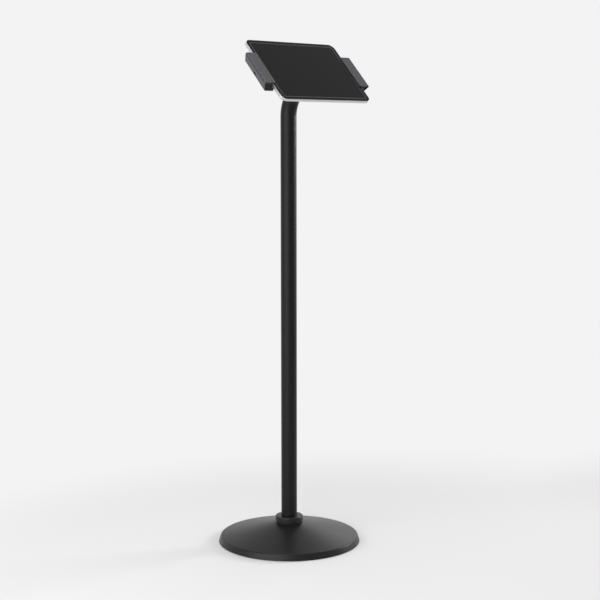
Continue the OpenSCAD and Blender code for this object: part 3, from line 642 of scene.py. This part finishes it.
class STAND_OT_base_shell(bpy.types.Operator):
    """Turn the base's sheet shell: a leaning rim, a shallow cone and a flat boss"""
    bl_idname = "stand.base_shell"
    bl_label = "Base shell"

    def execute(self, context):
        sizes = context.scene.stand_base
        low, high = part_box("base_shell")
        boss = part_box("collar")[1].x + sizes.boss_margin
        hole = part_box("pole_tube")[1].x + sizes.hole_room
        rim = high.x - sizes.rim_lean
        slope = (high.z - sizes.rim_height) / (rim - boss)
        lean = sizes.rim_lean / (sizes.rim_height - low.z)
        drop = sizes.wall * math.hypot(1, slope)
        step_in = sizes.wall * math.hypot(1, lean)
        inner_rim = high.x - step_in - lean * (sizes.rim_height - sizes.wall - low.z)
        inner_rim_z = sizes.rim_height + (rim - inner_rim) * slope - drop
        bm = turned([
            (high.x, low.z, sizes.lower_round),
            (rim, sizes.rim_height, sizes.rim_round),
            (boss, high.z, sizes.boss_round),
            (hole, high.z, 0),
            (hole, high.z - drop, 0),
            (boss, high.z - drop, 0),
            (inner_rim, inner_rim_z, 0),
            (high.x - step_in, low.z, 0)], steps=192)
        dress(context, bm, "base_shell")
        return {"FINISHED"}


class STAND_OT_floor_ring(bpy.types.Operator):
    """Turn the rubber ring under the base, with tread grooves in its underside"""
    bl_idname = "stand.floor_ring"
    bl_label = "Floor ring"

    def execute(self, context):
        sizes = context.scene.stand_base
        low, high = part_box("floor_ring")
        inner = high.x - sizes.ring_width
        tread = [(inner, low.z, 0)]
        for groove in range(1, sizes.grooves + 1):
            middle = inner + sizes.ring_width * groove / (sizes.grooves + 1)
            start, end = middle - sizes.groove_width / 2, middle + sizes.groove_width / 2
            roof = low.z + sizes.groove_depth
            tread += [(start, low.z, 0), (start, roof, 0), (end, roof, 0), (end, low.z, 0)]
        tread += [(high.x, low.z, 0), (high.x, high.z, 0), (inner, high.z, 0)]
        dress(context, turned(tread, steps=128), "floor_ring")
        return {"FINISHED"}


class STAND_OT_collar(bpy.types.Operator):
    """Turn the collar with its rounded shoulder and grub screw bores, and the gasket below it"""
    bl_idname = "stand.collar"
    bl_label = "Collar and gasket"

    def execute(self, context):
        sizes = context.scene.stand_base
        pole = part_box("pole_tube")[1].x
        low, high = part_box("collar")
        bore = pole + sizes.collar_bore
        radius = high.x
        groove_top = high.z - sizes.collar_groove_down
        groove_low = groove_top - sizes.collar_groove
        groove = radius - sizes.collar_groove_depth
        bm = turned([(bore, low.z, 0), (radius, low.z, sizes.collar_edge), (radius, groove_low, 0),
                     (groove, groove_low, 0), (groove, groove_top, 0), (radius, groove_top, 0),
                     (radius, high.z, sizes.shoulder), (bore, high.z, 0)], steps=128)
        for screw in self.screws():
            outside = screw * (2 * radius / screw.length)
            height = Vector((0, 0, self.screw_height()))
            bm = cut(bm, bar(height, outside + height, sizes.grub_radius, sides=24))
        dress(context, bm, "collar")
        low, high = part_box("collar_gasket")
        inner = pole + sizes.hole_room
        outer = high.x - sizes.gasket_inset
        edge = sizes.gasket_edge
        bm = turned([(inner, low.z, edge), (outer, low.z, edge), (outer, high.z, edge),
                     (inner, high.z, edge)], steps=96)
        dress(context, bm, "collar_gasket")
        return {"FINISHED"}

    def screw_height(self):
        low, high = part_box("collar_grub_screws")
        return (low.z + high.z) / 2

    def screws(self):
        """Level directions of the grub screws, found in the mesh of their node"""
        verts = frame["nodes"]["collar_grub_screws"].data.vertices
        level = [Vector((vert.co.x, vert.co.y, 0)) for vert in verts]
        near = math.radians(30)
        found = []
        for point in level:
            if all(point.angle(other) > near for other in found):
                group = [other for other in level if other.angle(point) < near]
                found.append(sum(group, Vector()) / len(group))
        return found


class STAND_OT_pole_tube(bpy.types.Operator):
    """Draw the pole tube up from the base, round its bend and out to the plug"""
    bl_idname = "stand.pole_tube"
    bl_label = "Pole tube"

    def execute(self, context):
        sizes = context.scene.stand_pole
        low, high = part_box("pole_tube")
        radius = high.x
        bend = sizes.bend_radius
        after_bend = (-PIVOT.y - bend * (1 - math.cos(SLOPE))) / math.sin(SLOPE)
        bend_z = PIVOT.z - bend * math.sin(SLOPE) - after_bend * math.cos(SLOPE)
        stub = after_bend + head_box("pole_tube")[1].z
        bm = bmesh.new()
        for wall in (radius, radius - sizes.wall):
            bmesh.ops.create_circle(bm, segments=96, radius=wall, matrix=Matrix.Translation((0, 0, low.z)))
        foot = bm.edges[:]
        top = self.drawn_on(bm, foot, Vector((0, 0, bend_z - low.z)))
        corners = list({vert for edge in top for vert in edge.verts})
        curve = bmesh.ops.spin(bm, geom=corners + top, cent=(0, -bend, bend_z), axis=(1, 0, 0),
                               angle=SLOPE, steps=28)
        last = [item for item in curve["geom_last"] if isinstance(item, bmesh.types.BMEdge)]
        end = self.drawn_on(bm, last, OUTWARD * stub)
        bmesh.ops.bridge_loops(bm, edges=foot)
        bmesh.ops.bridge_loops(bm, edges=end)
        dress(context, sew(bm), "pole_tube", pole_coat(context.scene.stand_finish))
        return {"FINISHED"}

    def drawn_on(self, bm, edges, travel):
        """Draws the tube's rings on by travel and returns the rings at the far end"""
        drawn = bmesh.ops.extrude_edge_only(bm, edges=edges)
        far = set(moved_verts(drawn))
        bmesh.ops.translate(bm, verts=list(far), vec=travel)
        return [item for item in drawn["geom"]
                if isinstance(item, bmesh.types.BMEdge) and far.issuperset(item.verts)]


# Pieces of the tilt and swivel joints

def lug(start, width, radius, reach):
    """A lug about the X axis: round at one end, square at the other, reach along Z."""
    rounding = radius * FULL_ROUND
    back, front = (radius, reach) if reach < 0 else (-radius, reach)
    outline = [((start, -radius, back), rounding), ((start, -radius, front), 0),
               ((start, radius, front), 0), ((start, radius, back), rounding)]
    return prism(outline, (width, 0, 0), segments=16)


class STAND_OT_neck_plug(bpy.types.Operator):
    """Model the plug in the pole's end: a spigot, a flange and two drilled ears"""
    bl_idname = "stand.neck_plug"
    bl_label = "Neck plug"

    def execute(self, context):
        sizes = context.scene.stand_pole
        low, high = head_box("neck_plug")
        tube_end = head_box("pole_tube")[1].z
        flange_top = tube_end + sizes.plug_flange
        spigot = high.x - sizes.wall - sizes.plug_room
        bm = turned([(0, low.z, 0), (spigot, low.z, sizes.edge), (spigot, tube_end, 0),
                     (high.x, tube_end, sizes.edge), (high.x, flange_top, sizes.edge), (0, flange_top, 0)])
        inner = sizes.tongue / 2 + sizes.ear_gap
        for start in (inner, -inner - sizes.ear):
            ear = lug(start, sizes.ear, sizes.lug_radius, flange_top - sizes.edge)
            limit = bar((0, 0, low.z), (0, 0, high.z + sizes.edge), high.x, sides=96)
            ear = soften(combined(ear, limit, "INTERSECT"), sizes.edge,
                         where=lambda point: point.z > flange_top)
            bm = combined(bm, ear, "UNION")
        bm = cut(bm, bar((low.x, 0, 0), (high.x, 0, 0), sizes.pin + sizes.pin_room))
        dress(context, placed(bm, HEAD), "neck_plug")
        return {"FINISHED"}


class STAND_OT_tilt_fasteners(bpy.types.Operator):
    """Model the tilt bolt with its hexagon socket, and the chamfered nut on its end"""
    bl_idname = "stand.tilt_fasteners"
    bl_label = "Tilt bolt and nut"

    def execute(self, context):
        sizes = context.scene.stand_pole
        edge = sizes.edge
        along = Matrix.Rotation(math.pi / 2, 4, "Y")
        low, high = head_box("tilt_bolt")
        seat = low.x + sizes.bolt_head_height
        bm = turned([(0, low.x, 0), (sizes.bolt_head, low.x, edge), (sizes.bolt_head, seat, 0),
                     (sizes.pin, seat, 0), (sizes.pin, high.x, edge), (0, high.x, 0)], steps=64)
        bm = cut(bm, bar((0, 0, low.x - edge), (0, 0, low.x + sizes.socket_depth), sizes.socket, sides=6))
        dress(context, placed(bm, HEAD @ along), "tilt_bolt")
        low, high = head_box("tilt_nut")
        chamfer = sizes.nut * (1 - math.cos(math.pi / 6))
        bore = sizes.pin + sizes.pin_room
        flat = sizes.nut - chamfer
        start, end = low.x + chamfer / 2, high.x - chamfer / 2
        rounds = turned([(bore, low.x, 0), (flat, low.x, 0), (sizes.nut, start, 0), (sizes.nut, end, 0),
                         (flat, high.x, 0), (bore, high.x, 0)], steps=64)
        hexagon = bar((0, 0, low.x), (0, 0, high.x), sizes.nut, sides=6)
        bm = combined(hexagon, rounds, "INTERSECT")
        dress(context, placed(bm, HEAD @ along), "tilt_nut")
        return {"FINISHED"}


class STAND_OT_tilt_knuckle(bpy.types.Operator):
    """Model the knuckle: a drilled tongue between the ears and the swivel flange on it"""
    bl_idname = "stand.tilt_knuckle"
    bl_label = "Tilt knuckle"

    def execute(self, context):
        sizes = context.scene.stand_pole
        low, high = head_box("tilt_knuckle")
        flange_back = high.z - sizes.flange
        bore = sizes.pin + sizes.pin_room
        bm = turned([(0, flange_back, 0), (high.x, flange_back, sizes.edge), (high.x, high.z, sizes.edge),
                     (0, high.z, 0)])
        tongue = lug(-sizes.tongue / 2, sizes.tongue, sizes.lug_radius, flange_back + sizes.edge)
        tongue = soften(tongue, sizes.edge, where=lambda point: point.z < flange_back)
        bm = combined(bm, tongue, "UNION")
        bm = cut(bm, bar((low.x, 0, 0), (high.x, 0, 0), bore),
                 bar((0, 0, high.z - sizes.swivel_bite), (0, 0, high.z + sizes.edge), bore))
        dress(context, placed(bm, HEAD), "tilt_knuckle")
        return {"FINISHED"}


# Pieces of the clamp

class STAND_OT_clamp_housing(bpy.types.Operator):
    """Model the clamp's housing: a rounded tray with slots where the prongs leave it"""
    bl_idname = "stand.clamp_housing"
    bl_label = "Clamp housing"

    def execute(self, context):
        sizes = context.scene.stand_clamp
        low, high = head_box("clamp_housing")
        wall, gap = sizes.wall, sizes.slide_gap
        bm = soften(plate(low, high, sizes.corner), sizes.back_round, where=at_height(low.z), segments=5)
        inside = Vector((wall, wall, wall))
        bm = cut(bm, plate(low + inside, high - inside + Vector((0, 0, 2 * wall)), sizes.corner - wall))
        fork_low, fork_high = head_box("left_rail")
        roof = high.z + wall
        floor = fork_low.z - gap
        reach = low.x + sizes.corner + wall
        rack = fork_high.y - sizes.rack_width - sizes.tooth
        for side in (Matrix(), HALF_TURN):
            for start, end in ((rack - gap, fork_high.y + gap),
                               (fork_low.y - gap, fork_low.y + sizes.guide_width + gap)):
                slot = block((low.x - wall, start, floor), (reach, end, roof))
                bm = cut(bm, placed(slot, side))
        bm = cut(bm, bar((0, 0, low.z - wall), (0, 0, low.z + 2 * wall),
                         context.scene.stand_pole.pin + 2 * sizes.seat_gap))
        dress(context, placed(bm, HEAD), "clamp_housing")
        return {"FINISHED"}


class STAND_OT_clamp_front(bpy.types.Operator):
    """Model the housing's front plate with its screw seats, and the rubber facing on it"""
    bl_idname = "stand.clamp_front"
    bl_label = "Clamp front"

    def execute(self, context):
        sizes = context.scene.stand_clamp
        low, high = head_box("clamp_front_plate")
        back = head_box("clamp_housing")[1].z
        low.z = back
        bm = soften(plate(low, high, sizes.corner), sizes.plate_edge)
        heads = head_box("housing_screws")[1]
        head = self.head_radius()
        across, up = heads.x - head, heads.y - head
        for x, y in ((across, 0), (-across, 0), (0, up), (0, -up)):
            bm = cut(bm, bar((x, y, back - PAST), (x, y, high.z + PAST), head + sizes.seat_gap, sides=32))
        dress(context, placed(bm, HEAD), "clamp_front_plate")
        low, high = head_box("clamp_pad")
        bm = soften(plate(low, high, sizes.pad_corner), sizes.pad_edge, where=at_height(high.z))
        dress(context, placed(bm, HEAD), "clamp_pad")
        return {"FINISHED"}

    def head_radius(self):
        """Radius of a housing screw's head, from the screw that lies furthest up the slope"""
        points = head_points("housing_screws")
        highest = max(point.y for point in points)
        return max(point.x for point in points if point.y > highest / 2)


def run_along(section, low, high, segments=6):
    """A section of (x, z, rounding) run up the slope over the length of a box."""
    corners = [((x, low.y, z), rounding) for x, z, rounding in section]
    return prism(corners, (0, high.y - low.y, 0), segments)


def core_rear(sizes):
    """X at which the left core's outer face, leaning in as the cover's does, ends at the rear."""
    jaw_low, jaw_high = head_box("left_jaw")
    low, high = head_box("left_core")
    lean = sizes.lean / (jaw_high.z - jaw_low.z)
    return low.x + lean * (high.z - low.z)


def jaw_cover(sizes):
    """The left jaw's cover: a bent section with a leaning outer face, run along the tablet's edge."""
    low, high = head_box("left_jaw")
    core_low, core_high = head_box("left_core")
    lip = head_box("tablet_case")[0].x + sizes.lip_over
    section = [(low.x + sizes.lean, low.z, sizes.rear_round), (low.x, high.z, sizes.front_round),
               (lip, high.z, sizes.lip_round), (lip, core_high.z, 0), (core_low.x, core_high.z, 0),
               (core_rear(sizes), core_low.z, 0), (high.x, core_low.z, 0), (high.x, low.z, 0)]
    return soften(run_along(section, low, high, segments=8), sizes.edge)


def jaw_core(sizes):
    """The left jaw's core: it fills the cover, holds the lining and takes the fork from behind."""
    low, high = head_box("left_core")
    bed = head_box("left_lining")[0]
    section = [(core_rear(sizes), low.z, 0), (low.x, high.z, 0), (bed.x, high.z, 0), (bed.x, bed.z, 0),
               (high.x, bed.z, 0), (high.x, low.z, 0)]
    bm = soften(run_along(section, low, high), sizes.core_edge)
    fork_low, fork_high = head_box("left_rail")
    gap = sizes.seat_gap
    bridge = head_box("tablet_case")[0].x - sizes.bridge_over
    roof = fork_high.z + gap
    under = low.z - PAST
    rack, guide = fork_high.y - sizes.rack_width, fork_low.y + sizes.guide_width
    return cut(
        bm,
        block((bridge - gap, fork_low.y - gap, under), (high.x + PAST, fork_high.y + gap, roof)),
        block((fork_low.x - gap, rack - gap, under), (bridge, fork_high.y + gap, roof)),
        block((fork_low.x - gap, fork_low.y - gap, under), (bridge, guide + gap, roof)))


def paint_lip_shade(bm, sizes):
    """Paints the cover's lip edge that faces the tablet's middle black with the core's finish: painted shade along
    the lip's inner edge.
    """
    lip = head_box("tablet_case")[0].x + sizes.lip_over
    for face in bm.faces:
        if face.normal.x > sizes.lip_shade_from and face.calc_center_median().x > lip - sizes.lip_round:
            face.material_index = 1
    return bm


def plunger_recess(sizes):
    """Cutter for the release plunger's recess, round in front and open to the rear."""
    low = head_box("left_jaw")[0]
    plunger_low, plunger_high = head_box("release_plunger")
    half = sizes.recess_radius
    top = (plunger_low.z + plunger_high.z) / 2 + half
    outside, under = low.x - PAST, low.z - PAST
    rounding = half * FULL_ROUND
    outline = [((outside, -half, under), 0), ((outside, half, under), 0),
               ((outside, half, top), rounding), ((outside, -half, top), rounding)]
    return prism(outline, (plunger_low.x + sizes.plunger_stand - outside, 0, 0), segments=10)


def plunger_bore(sizes):
    """Cutter for the bore that the release plunger and its spring sit in."""
    low, high = head_box("release_plunger")
    height = (low.z + high.z) / 2
    return bar((low.x, 0, height), (head_box("release_spring")[1].x, 0, height),
               (high.z - low.z) / 2 + sizes.plunger_play, sides=32)


class STAND_OT_jaws(bpy.types.Operator):
    """Model the jaws' grey covers and black cores, the left ones with the plunger's recess"""
    bl_idname = "stand.jaws"
    bl_label = "Jaws"

    def execute(self, context):
        sizes = context.scene.stand_clamp
        # The core's finish goes second: it paints the lip's inner edge black, as painted shade
        finishes = (finish_of(context, "left_jaw"), finish_of(context, "left_core"))
        left = paint_lip_shade(cut(jaw_cover(sizes), plunger_recess(sizes)), sizes)
        dress(context, placed(left, HEAD), "left_jaw", *finishes)
        right = paint_lip_shade(jaw_cover(sizes), sizes)
        dress(context, placed(right, HEAD @ HALF_TURN), "right_jaw", *finishes)
        left = cut(jaw_core(sizes), plunger_recess(sizes), plunger_bore(sizes))
        dress(context, placed(left, HEAD), "left_core")
        dress(context, placed(jaw_core(sizes), HEAD @ HALF_TURN), "right_core")
        return {"FINISHED"}


class STAND_OT_linings(bpy.types.Operator):
    """Model the rubber linings in the jaws' grooves"""
    bl_idname = "stand.linings"
    bl_label = "Jaw linings"

    def execute(self, context):
        sizes = context.scene.stand_clamp
        low, high = head_box("left_lining")
        lip = head_box("tablet_case")[0].x + sizes.lip_over - sizes.lining_back
        bed, inner = low.x + sizes.lining, high.x
        back, front = low.z + sizes.lining, high.z - sizes.lining
        section = [(low.x, low.z, 0), (inner, low.z, 0), (inner, back, 0), (bed, back, 0),
                   (bed, front, 0), (lip, front, 0), (lip, high.z, 0), (low.x, high.z, 0)]
        for node, side in (("left_lining", Matrix()), ("right_lining", HALF_TURN)):
            bm = soften(run_along(section, low, high), sizes.lining_round)
            dress(context, placed(bm, HEAD @ side), node)
        return {"FINISHED"}


# Pieces of the tablet

# Facets in the rounding of each corner
CORNER_STEPS = 16


class STAND_OT_tablet_case(bpy.types.Operator):
    """Model the tablet's metal tray with a rounded back edge and a seat for the glass"""
    bl_idname = "stand.tablet_case"
    bl_label = "Tablet case"

    def execute(self, context):
        sizes = context.scene.stand_tablet
        low, high = head_box("tablet_case")
        glass_back = head_box("tablet_glass")[0].z
        above = Vector((0, 0, 2 * sizes.tray))
        bm = plate(low, high, sizes.corner, CORNER_STEPS)
        soften(bm, sizes.back_round, where=at_height(low.z), segments=6)
        soften(bm, sizes.front_round, where=at_height(high.z))
        inset = Vector((sizes.tray, sizes.tray, sizes.tray))
        bm = cut(bm, plate(low + inset, high - inset + above, sizes.corner - sizes.tray, CORNER_STEPS))
        inset = Vector((sizes.rim, sizes.rim, 0))
        seat = low + inset
        seat.z = glass_back
        bm = cut(bm, plate(seat, high - inset + above, sizes.corner - sizes.rim, CORNER_STEPS))
        dress(context, placed(bm, HEAD), "tablet_case")
        return {"FINISHED"}


class STAND_OT_tablet_glass(bpy.types.Operator):
    """Model the front glass, with the border and the display as areas of its front face"""
    bl_idname = "stand.tablet_glass"
    bl_label = "Tablet glass"

    def execute(self, context):
        sizes = context.scene.stand_tablet
        colours = context.scene.stand_finish
        low, high = head_box("tablet_glass")
        bm = plate(low, high, sizes.corner - sizes.rim, CORNER_STEPS)
        soften(bm, sizes.glass_round, where=at_height(high.z), segments=4)
        front = max(bm.faces, key=lambda face: face.calc_center_median().z)
        for area, width in ((1, sizes.bezel), (2, sizes.border_line)):
            bmesh.ops.inset_region(bm, faces=[front], thickness=width, use_even_offset=True)
            front.material_index = area
        dress(context, placed(bm, HEAD), "tablet_glass",
              dark_glass("black_bezel_glass", colours.bezel, GLASS_GLOSS),
              dark_glass("display_border_line", colours.border, GLASS_GLOSS),
              dark_glass("display_glass", colours.display, GLASS_GLOSS))
        return {"FINISHED"}


class STAND_OT_tablet_camera(bpy.types.Operator):
    """Turn the rear camera's rim and the lens that is sunk into it"""
    bl_idname = "stand.tablet_camera"
    bl_label = "Tablet camera"

    def execute(self, context):
        sizes = context.scene.stand_tablet
        low, high = head_box("tablet_camera")
        middle = (low + high) / 2
        rim = (high.x - low.x) / 2
        lens = rim * sizes.lens_share
        deep = low.z + sizes.lens_depth
        edge = sizes.lens_depth
        bm = turned([(0, deep, 0), (lens, deep, 0), (lens, low.z, edge / 2), (rim, low.z, edge),
                     (rim, high.z, 0), (0, high.z, 0)], steps=64)
        for face in bm.faces:
            face.material_index = int(abs(face.calc_center_median().z - deep) < TINY)
        place = Matrix.Translation((middle.x, middle.y, 0))
        dress(context, placed(bm, HEAD @ place), "tablet_camera", finish_of(context, "tablet_camera"),
              dark_glass("lens_glass", context.scene.stand_finish.display, LENS_GLOSS))
        return {"FINISHED"}


class STAND_OT_kept_parts(bpy.types.Operator):
    """Give the CAD pieces that stay as they are the finish of their material slot"""
    bl_idname = "stand.kept_parts"
    bl_label = "Kept parts"

    def execute(self, context):
        for node, kept in frame["nodes"].items():
            if not kept.hide_render:
                for slot in kept.material_slots:
                    slot.material = finish_of(context, node)
        return {"FINISHED"}


# Stage

# Width of the camera's sensor in millimetres, and the farthest that it sees in metres
SENSOR_WIDTH = 36
FARTHEST = 100


def vector_step(tree, operation, source, second=None, result="Vector"):
    """Adds one step of vector arithmetic and returns its result's socket."""
    node = tree.nodes.new("ShaderNodeVectorMath")
    node.operation = operation
    tree.links.new(source, node.inputs[0])
    if second is not None:
        node.inputs[1].default_value = second
    return node.outputs[result]


def pale_side(stage):
    """The level direction, opposite the dark side, in which the backdrop is palest."""
    return Vector((math.sin(stage.dark_side), math.cos(stage.dark_side), 0))


def horizon_level(tree, direction, stage, dark_until, pale_from):
    """Backdrop's level along a level direction, palest opposite the dark side."""
    flat = vector_step(tree, "MULTIPLY", direction, (1, 1, 0))
    unit = vector_step(tree, "NORMALIZE", flat)
    along = vector_step(tree, "DOT_PRODUCT", unit, pale_side(stage), result="Value")
    levels = (stage.level_before, stage.level_behind)
    return value_range(tree, along, (dark_until, pale_from), levels, smooth=True)


class STAND_OT_stage(bpy.types.Operator):
    """Set up the camera, the pale floor, the backdrop and the soft lights"""
    bl_idname = "stand.stage"
    bl_label = "Stage"

    def execute(self, context):
        stage = context.scene.stand_stage
        context.scene.view_settings.view_transform = "Standard"
        self.camera(context, stage)
        self.backdrop(context, stage)
        self.floor(context, stage)
        for name in LAMPS:
            self.softbox(context, name, Vector((0, 0, stage.lamp_aim)))
        return {"FINISHED"}

    def camera(self, context, stage):
        side, heading = stage.view_side, stage.view_side + stage.view_turn
        level = math.cos(stage.view_dip)
        forward = Vector((math.sin(heading) * level, math.cos(heading) * level, -math.sin(stage.view_dip)))
        data = bpy.data.cameras.new("photo_camera")
        data.lens = stage.view_lens
        data.sensor_width = SENSOR_WIDTH
        data.clip_end = FARTHEST
        camera = bpy.data.objects.new("photo_camera", data)
        camera.location = (-math.sin(side) * stage.view_distance, -math.cos(side) * stage.view_distance,
                           stage.view_height)
        lean = Quaternion((0, 0, 1), stage.view_roll)
        camera.rotation_euler = (forward.to_track_quat("-Z", "Y") @ lean).to_euler()
        context.scene.collection.objects.link(camera)
        context.scene.camera = camera

    def backdrop(self, context, stage):
        world = bpy.data.worlds.new("studio_backdrop")
        world.use_nodes = True
        tree = world.node_tree
        direction = tree.nodes.new("ShaderNodeTexCoord").outputs["Generated"]
        parts = tree.nodes.new("ShaderNodeSeparateXYZ")
        tree.links.new(direction, parts.inputs["Vector"])
        level = horizon_level(tree, direction, stage, stage.dark_until, stage.pale_from)
        fade = (stage.wall_low, stage.wall_high)
        rise = value_range(tree, parts.outputs["Z"], fade, (0, 1), smooth=True)
        mix = tree.nodes.new("ShaderNodeMix")
        mix.inputs["B"].default_value = stage.level_above
        tree.links.new(rise, mix.inputs["Factor"])
        tree.links.new(level, mix.inputs["A"])
        shader = tree.nodes["Background"]
        shader.inputs["Color"].default_value = (1, 1, 1, 1)
        tree.links.new(mix.outputs["Result"], shader.inputs["Strength"])
        context.scene.world = world

    def floor(self, context, stage):
        bm = bmesh.new()
        bmesh.ops.create_circle(bm, cap_ends=True, segments=96, radius=stage.floor_size)
        mesh = bpy.data.meshes.new("studio_floor")
        bm.to_mesh(mesh)
        bm.free()
        floor = bpy.data.objects.new("studio_floor", mesh)
        context.scene.collection.objects.link(floor)
        mesh.materials.append(self.floor_finish(stage))

    def floor_finish(self, stage):
        """A pale floor that keeps shadows near the object and runs into the backdrop far off"""
        material = bpy.data.materials.new("pale_floor")
        material.use_nodes = True
        tree = material.node_tree
        tree.nodes.remove(tree.nodes["Principled BSDF"])
        place = tree.nodes.new("ShaderNodeTexCoord").outputs["Object"]
        away = vector_step(tree, "LENGTH", place, result="Value")
        lead = pale_side(stage) * stage.floor_lead
        behind = vector_step(tree, "DOT_PRODUCT", place, lead, result="Value")
        total = tree.nodes.new("ShaderNodeMath")
        total.operation = "ADD"
        for socket, source in zip(total.inputs, (away, behind)):
            tree.links.new(source, socket)
        fade = (stage.floor_near, stage.floor_far)
        far = value_range(tree, total.outputs["Value"], fade, (0, 1), smooth=True)
        lit = tree.nodes.new("ShaderNodeBsdfDiffuse")
        lit.inputs["Color"].default_value = (*([stage.floor_albedo] * 3), 1)
        haze = tree.nodes.new("ShaderNodeEmission")
        level = horizon_level(tree, place, stage, stage.haze_dark_until, stage.haze_pale_from)
        tree.links.new(level, haze.inputs["Strength"])
        mix = tree.nodes.new("ShaderNodeMixShader")
        tree.links.new(far, mix.inputs["Fac"])
        tree.links.new(lit.outputs["BSDF"], mix.inputs[1])
        tree.links.new(haze.outputs["Emission"], mix.inputs[2])
        below = tree.nodes.new("ShaderNodeMixShader")
        tree.links.new(tree.nodes.new("ShaderNodeNewGeometry").outputs["Backfacing"], below.inputs["Fac"])
        tree.links.new(mix.outputs["Shader"], below.inputs[1])
        tree.links.new(tree.nodes.new("ShaderNodeBsdfTransparent").outputs["BSDF"], below.inputs[2])
        tree.links.new(below.outputs["Shader"], tree.nodes["Material Output"].inputs["Surface"])
        return material

    def softbox(self, context, name, aim):
        """Hangs a soft lamp where its settings place it, turned towards a point"""
        lamp = getattr(context.scene, name)
        data = bpy.data.lights.new(name, "AREA")
        data.shape = "RECTANGLE"
        data.size = lamp.width
        data.size_y = lamp.height
        data.energy = lamp.level * math.pi * lamp.width * lamp.height
        level = math.cos(lamp.rise)
        towards = Vector((-math.sin(lamp.side) * level, -math.cos(lamp.side) * level, math.sin(lamp.rise)))
        hung = bpy.data.objects.new(name, data)
        hung.location = aim + towards * lamp.distance
        hung.rotation_euler = towards.to_track_quat("Z", "Y").to_euler()
        hung.visible_camera = False
        context.scene.collection.objects.link(hung)


# Add-on

GROUPS = {
    "stand_base": STAND_PG_base,
    "stand_pole": STAND_PG_pole,
    "stand_clamp": STAND_PG_clamp,
    "stand_tablet": STAND_PG_tablet,
    "stand_finish": STAND_PG_finish,
    "stand_stage": STAND_PG_stage,
    "stand_key_lamp": STAND_PG_key_lamp,
    "stand_top_lamp": STAND_PG_top_lamp,
    "stand_right_lamp": STAND_PG_right_lamp,
    "stand_rear_lamp": STAND_PG_rear_lamp,
    "stand_front_lamp": STAND_PG_front_lamp,
}
LAMPS = [name for name in GROUPS if name.endswith("_lamp")]
OPERATORS = (
    STAND_OT_base_shell, STAND_OT_floor_ring, STAND_OT_collar, STAND_OT_pole_tube, STAND_OT_neck_plug,
    STAND_OT_tilt_fasteners, STAND_OT_tilt_knuckle, STAND_OT_clamp_housing, STAND_OT_clamp_front,
    STAND_OT_jaws, STAND_OT_linings, STAND_OT_tablet_case, STAND_OT_tablet_glass, STAND_OT_tablet_camera,
    STAND_OT_kept_parts, STAND_OT_stage,
)


class STAND_PT_pieces(bpy.types.Panel):
    """Sizes, colours and pieces of the stand"""
    bl_idname = "STAND_PT_pieces"
    bl_label = "Tablet floor stand"
    bl_space_type = "VIEW_3D"
    bl_region_type = "UI"
    bl_category = "Stand"

    def draw(self, context):
        for group in GROUPS:
            box = self.layout.box()
            settings = getattr(context.scene, group)
            for name in settings.__annotations__:
                box.prop(settings, name)
        for operator in OPERATORS:
            self.layout.operator(operator.bl_idname)


def register():
    for cls in (*GROUPS.values(), *OPERATORS, STAND_PT_pieces):
        bpy.utils.register_class(cls)
    for name, group in GROUPS.items():
        setattr(bpy.types.Scene, name, PointerProperty(type=group))


def unregister():
    for name in GROUPS:
        delattr(bpy.types.Scene, name)
    for cls in (STAND_PT_pieces, *reversed(OPERATORS), *reversed(GROUPS.values())):
        bpy.utils.unregister_class(cls)


def main():
    register()
    for operator in OPERATORS:
        getattr(bpy.ops.stand, operator.bl_idname.split(".")[1])()


if __name__ == "__main__":
    main()
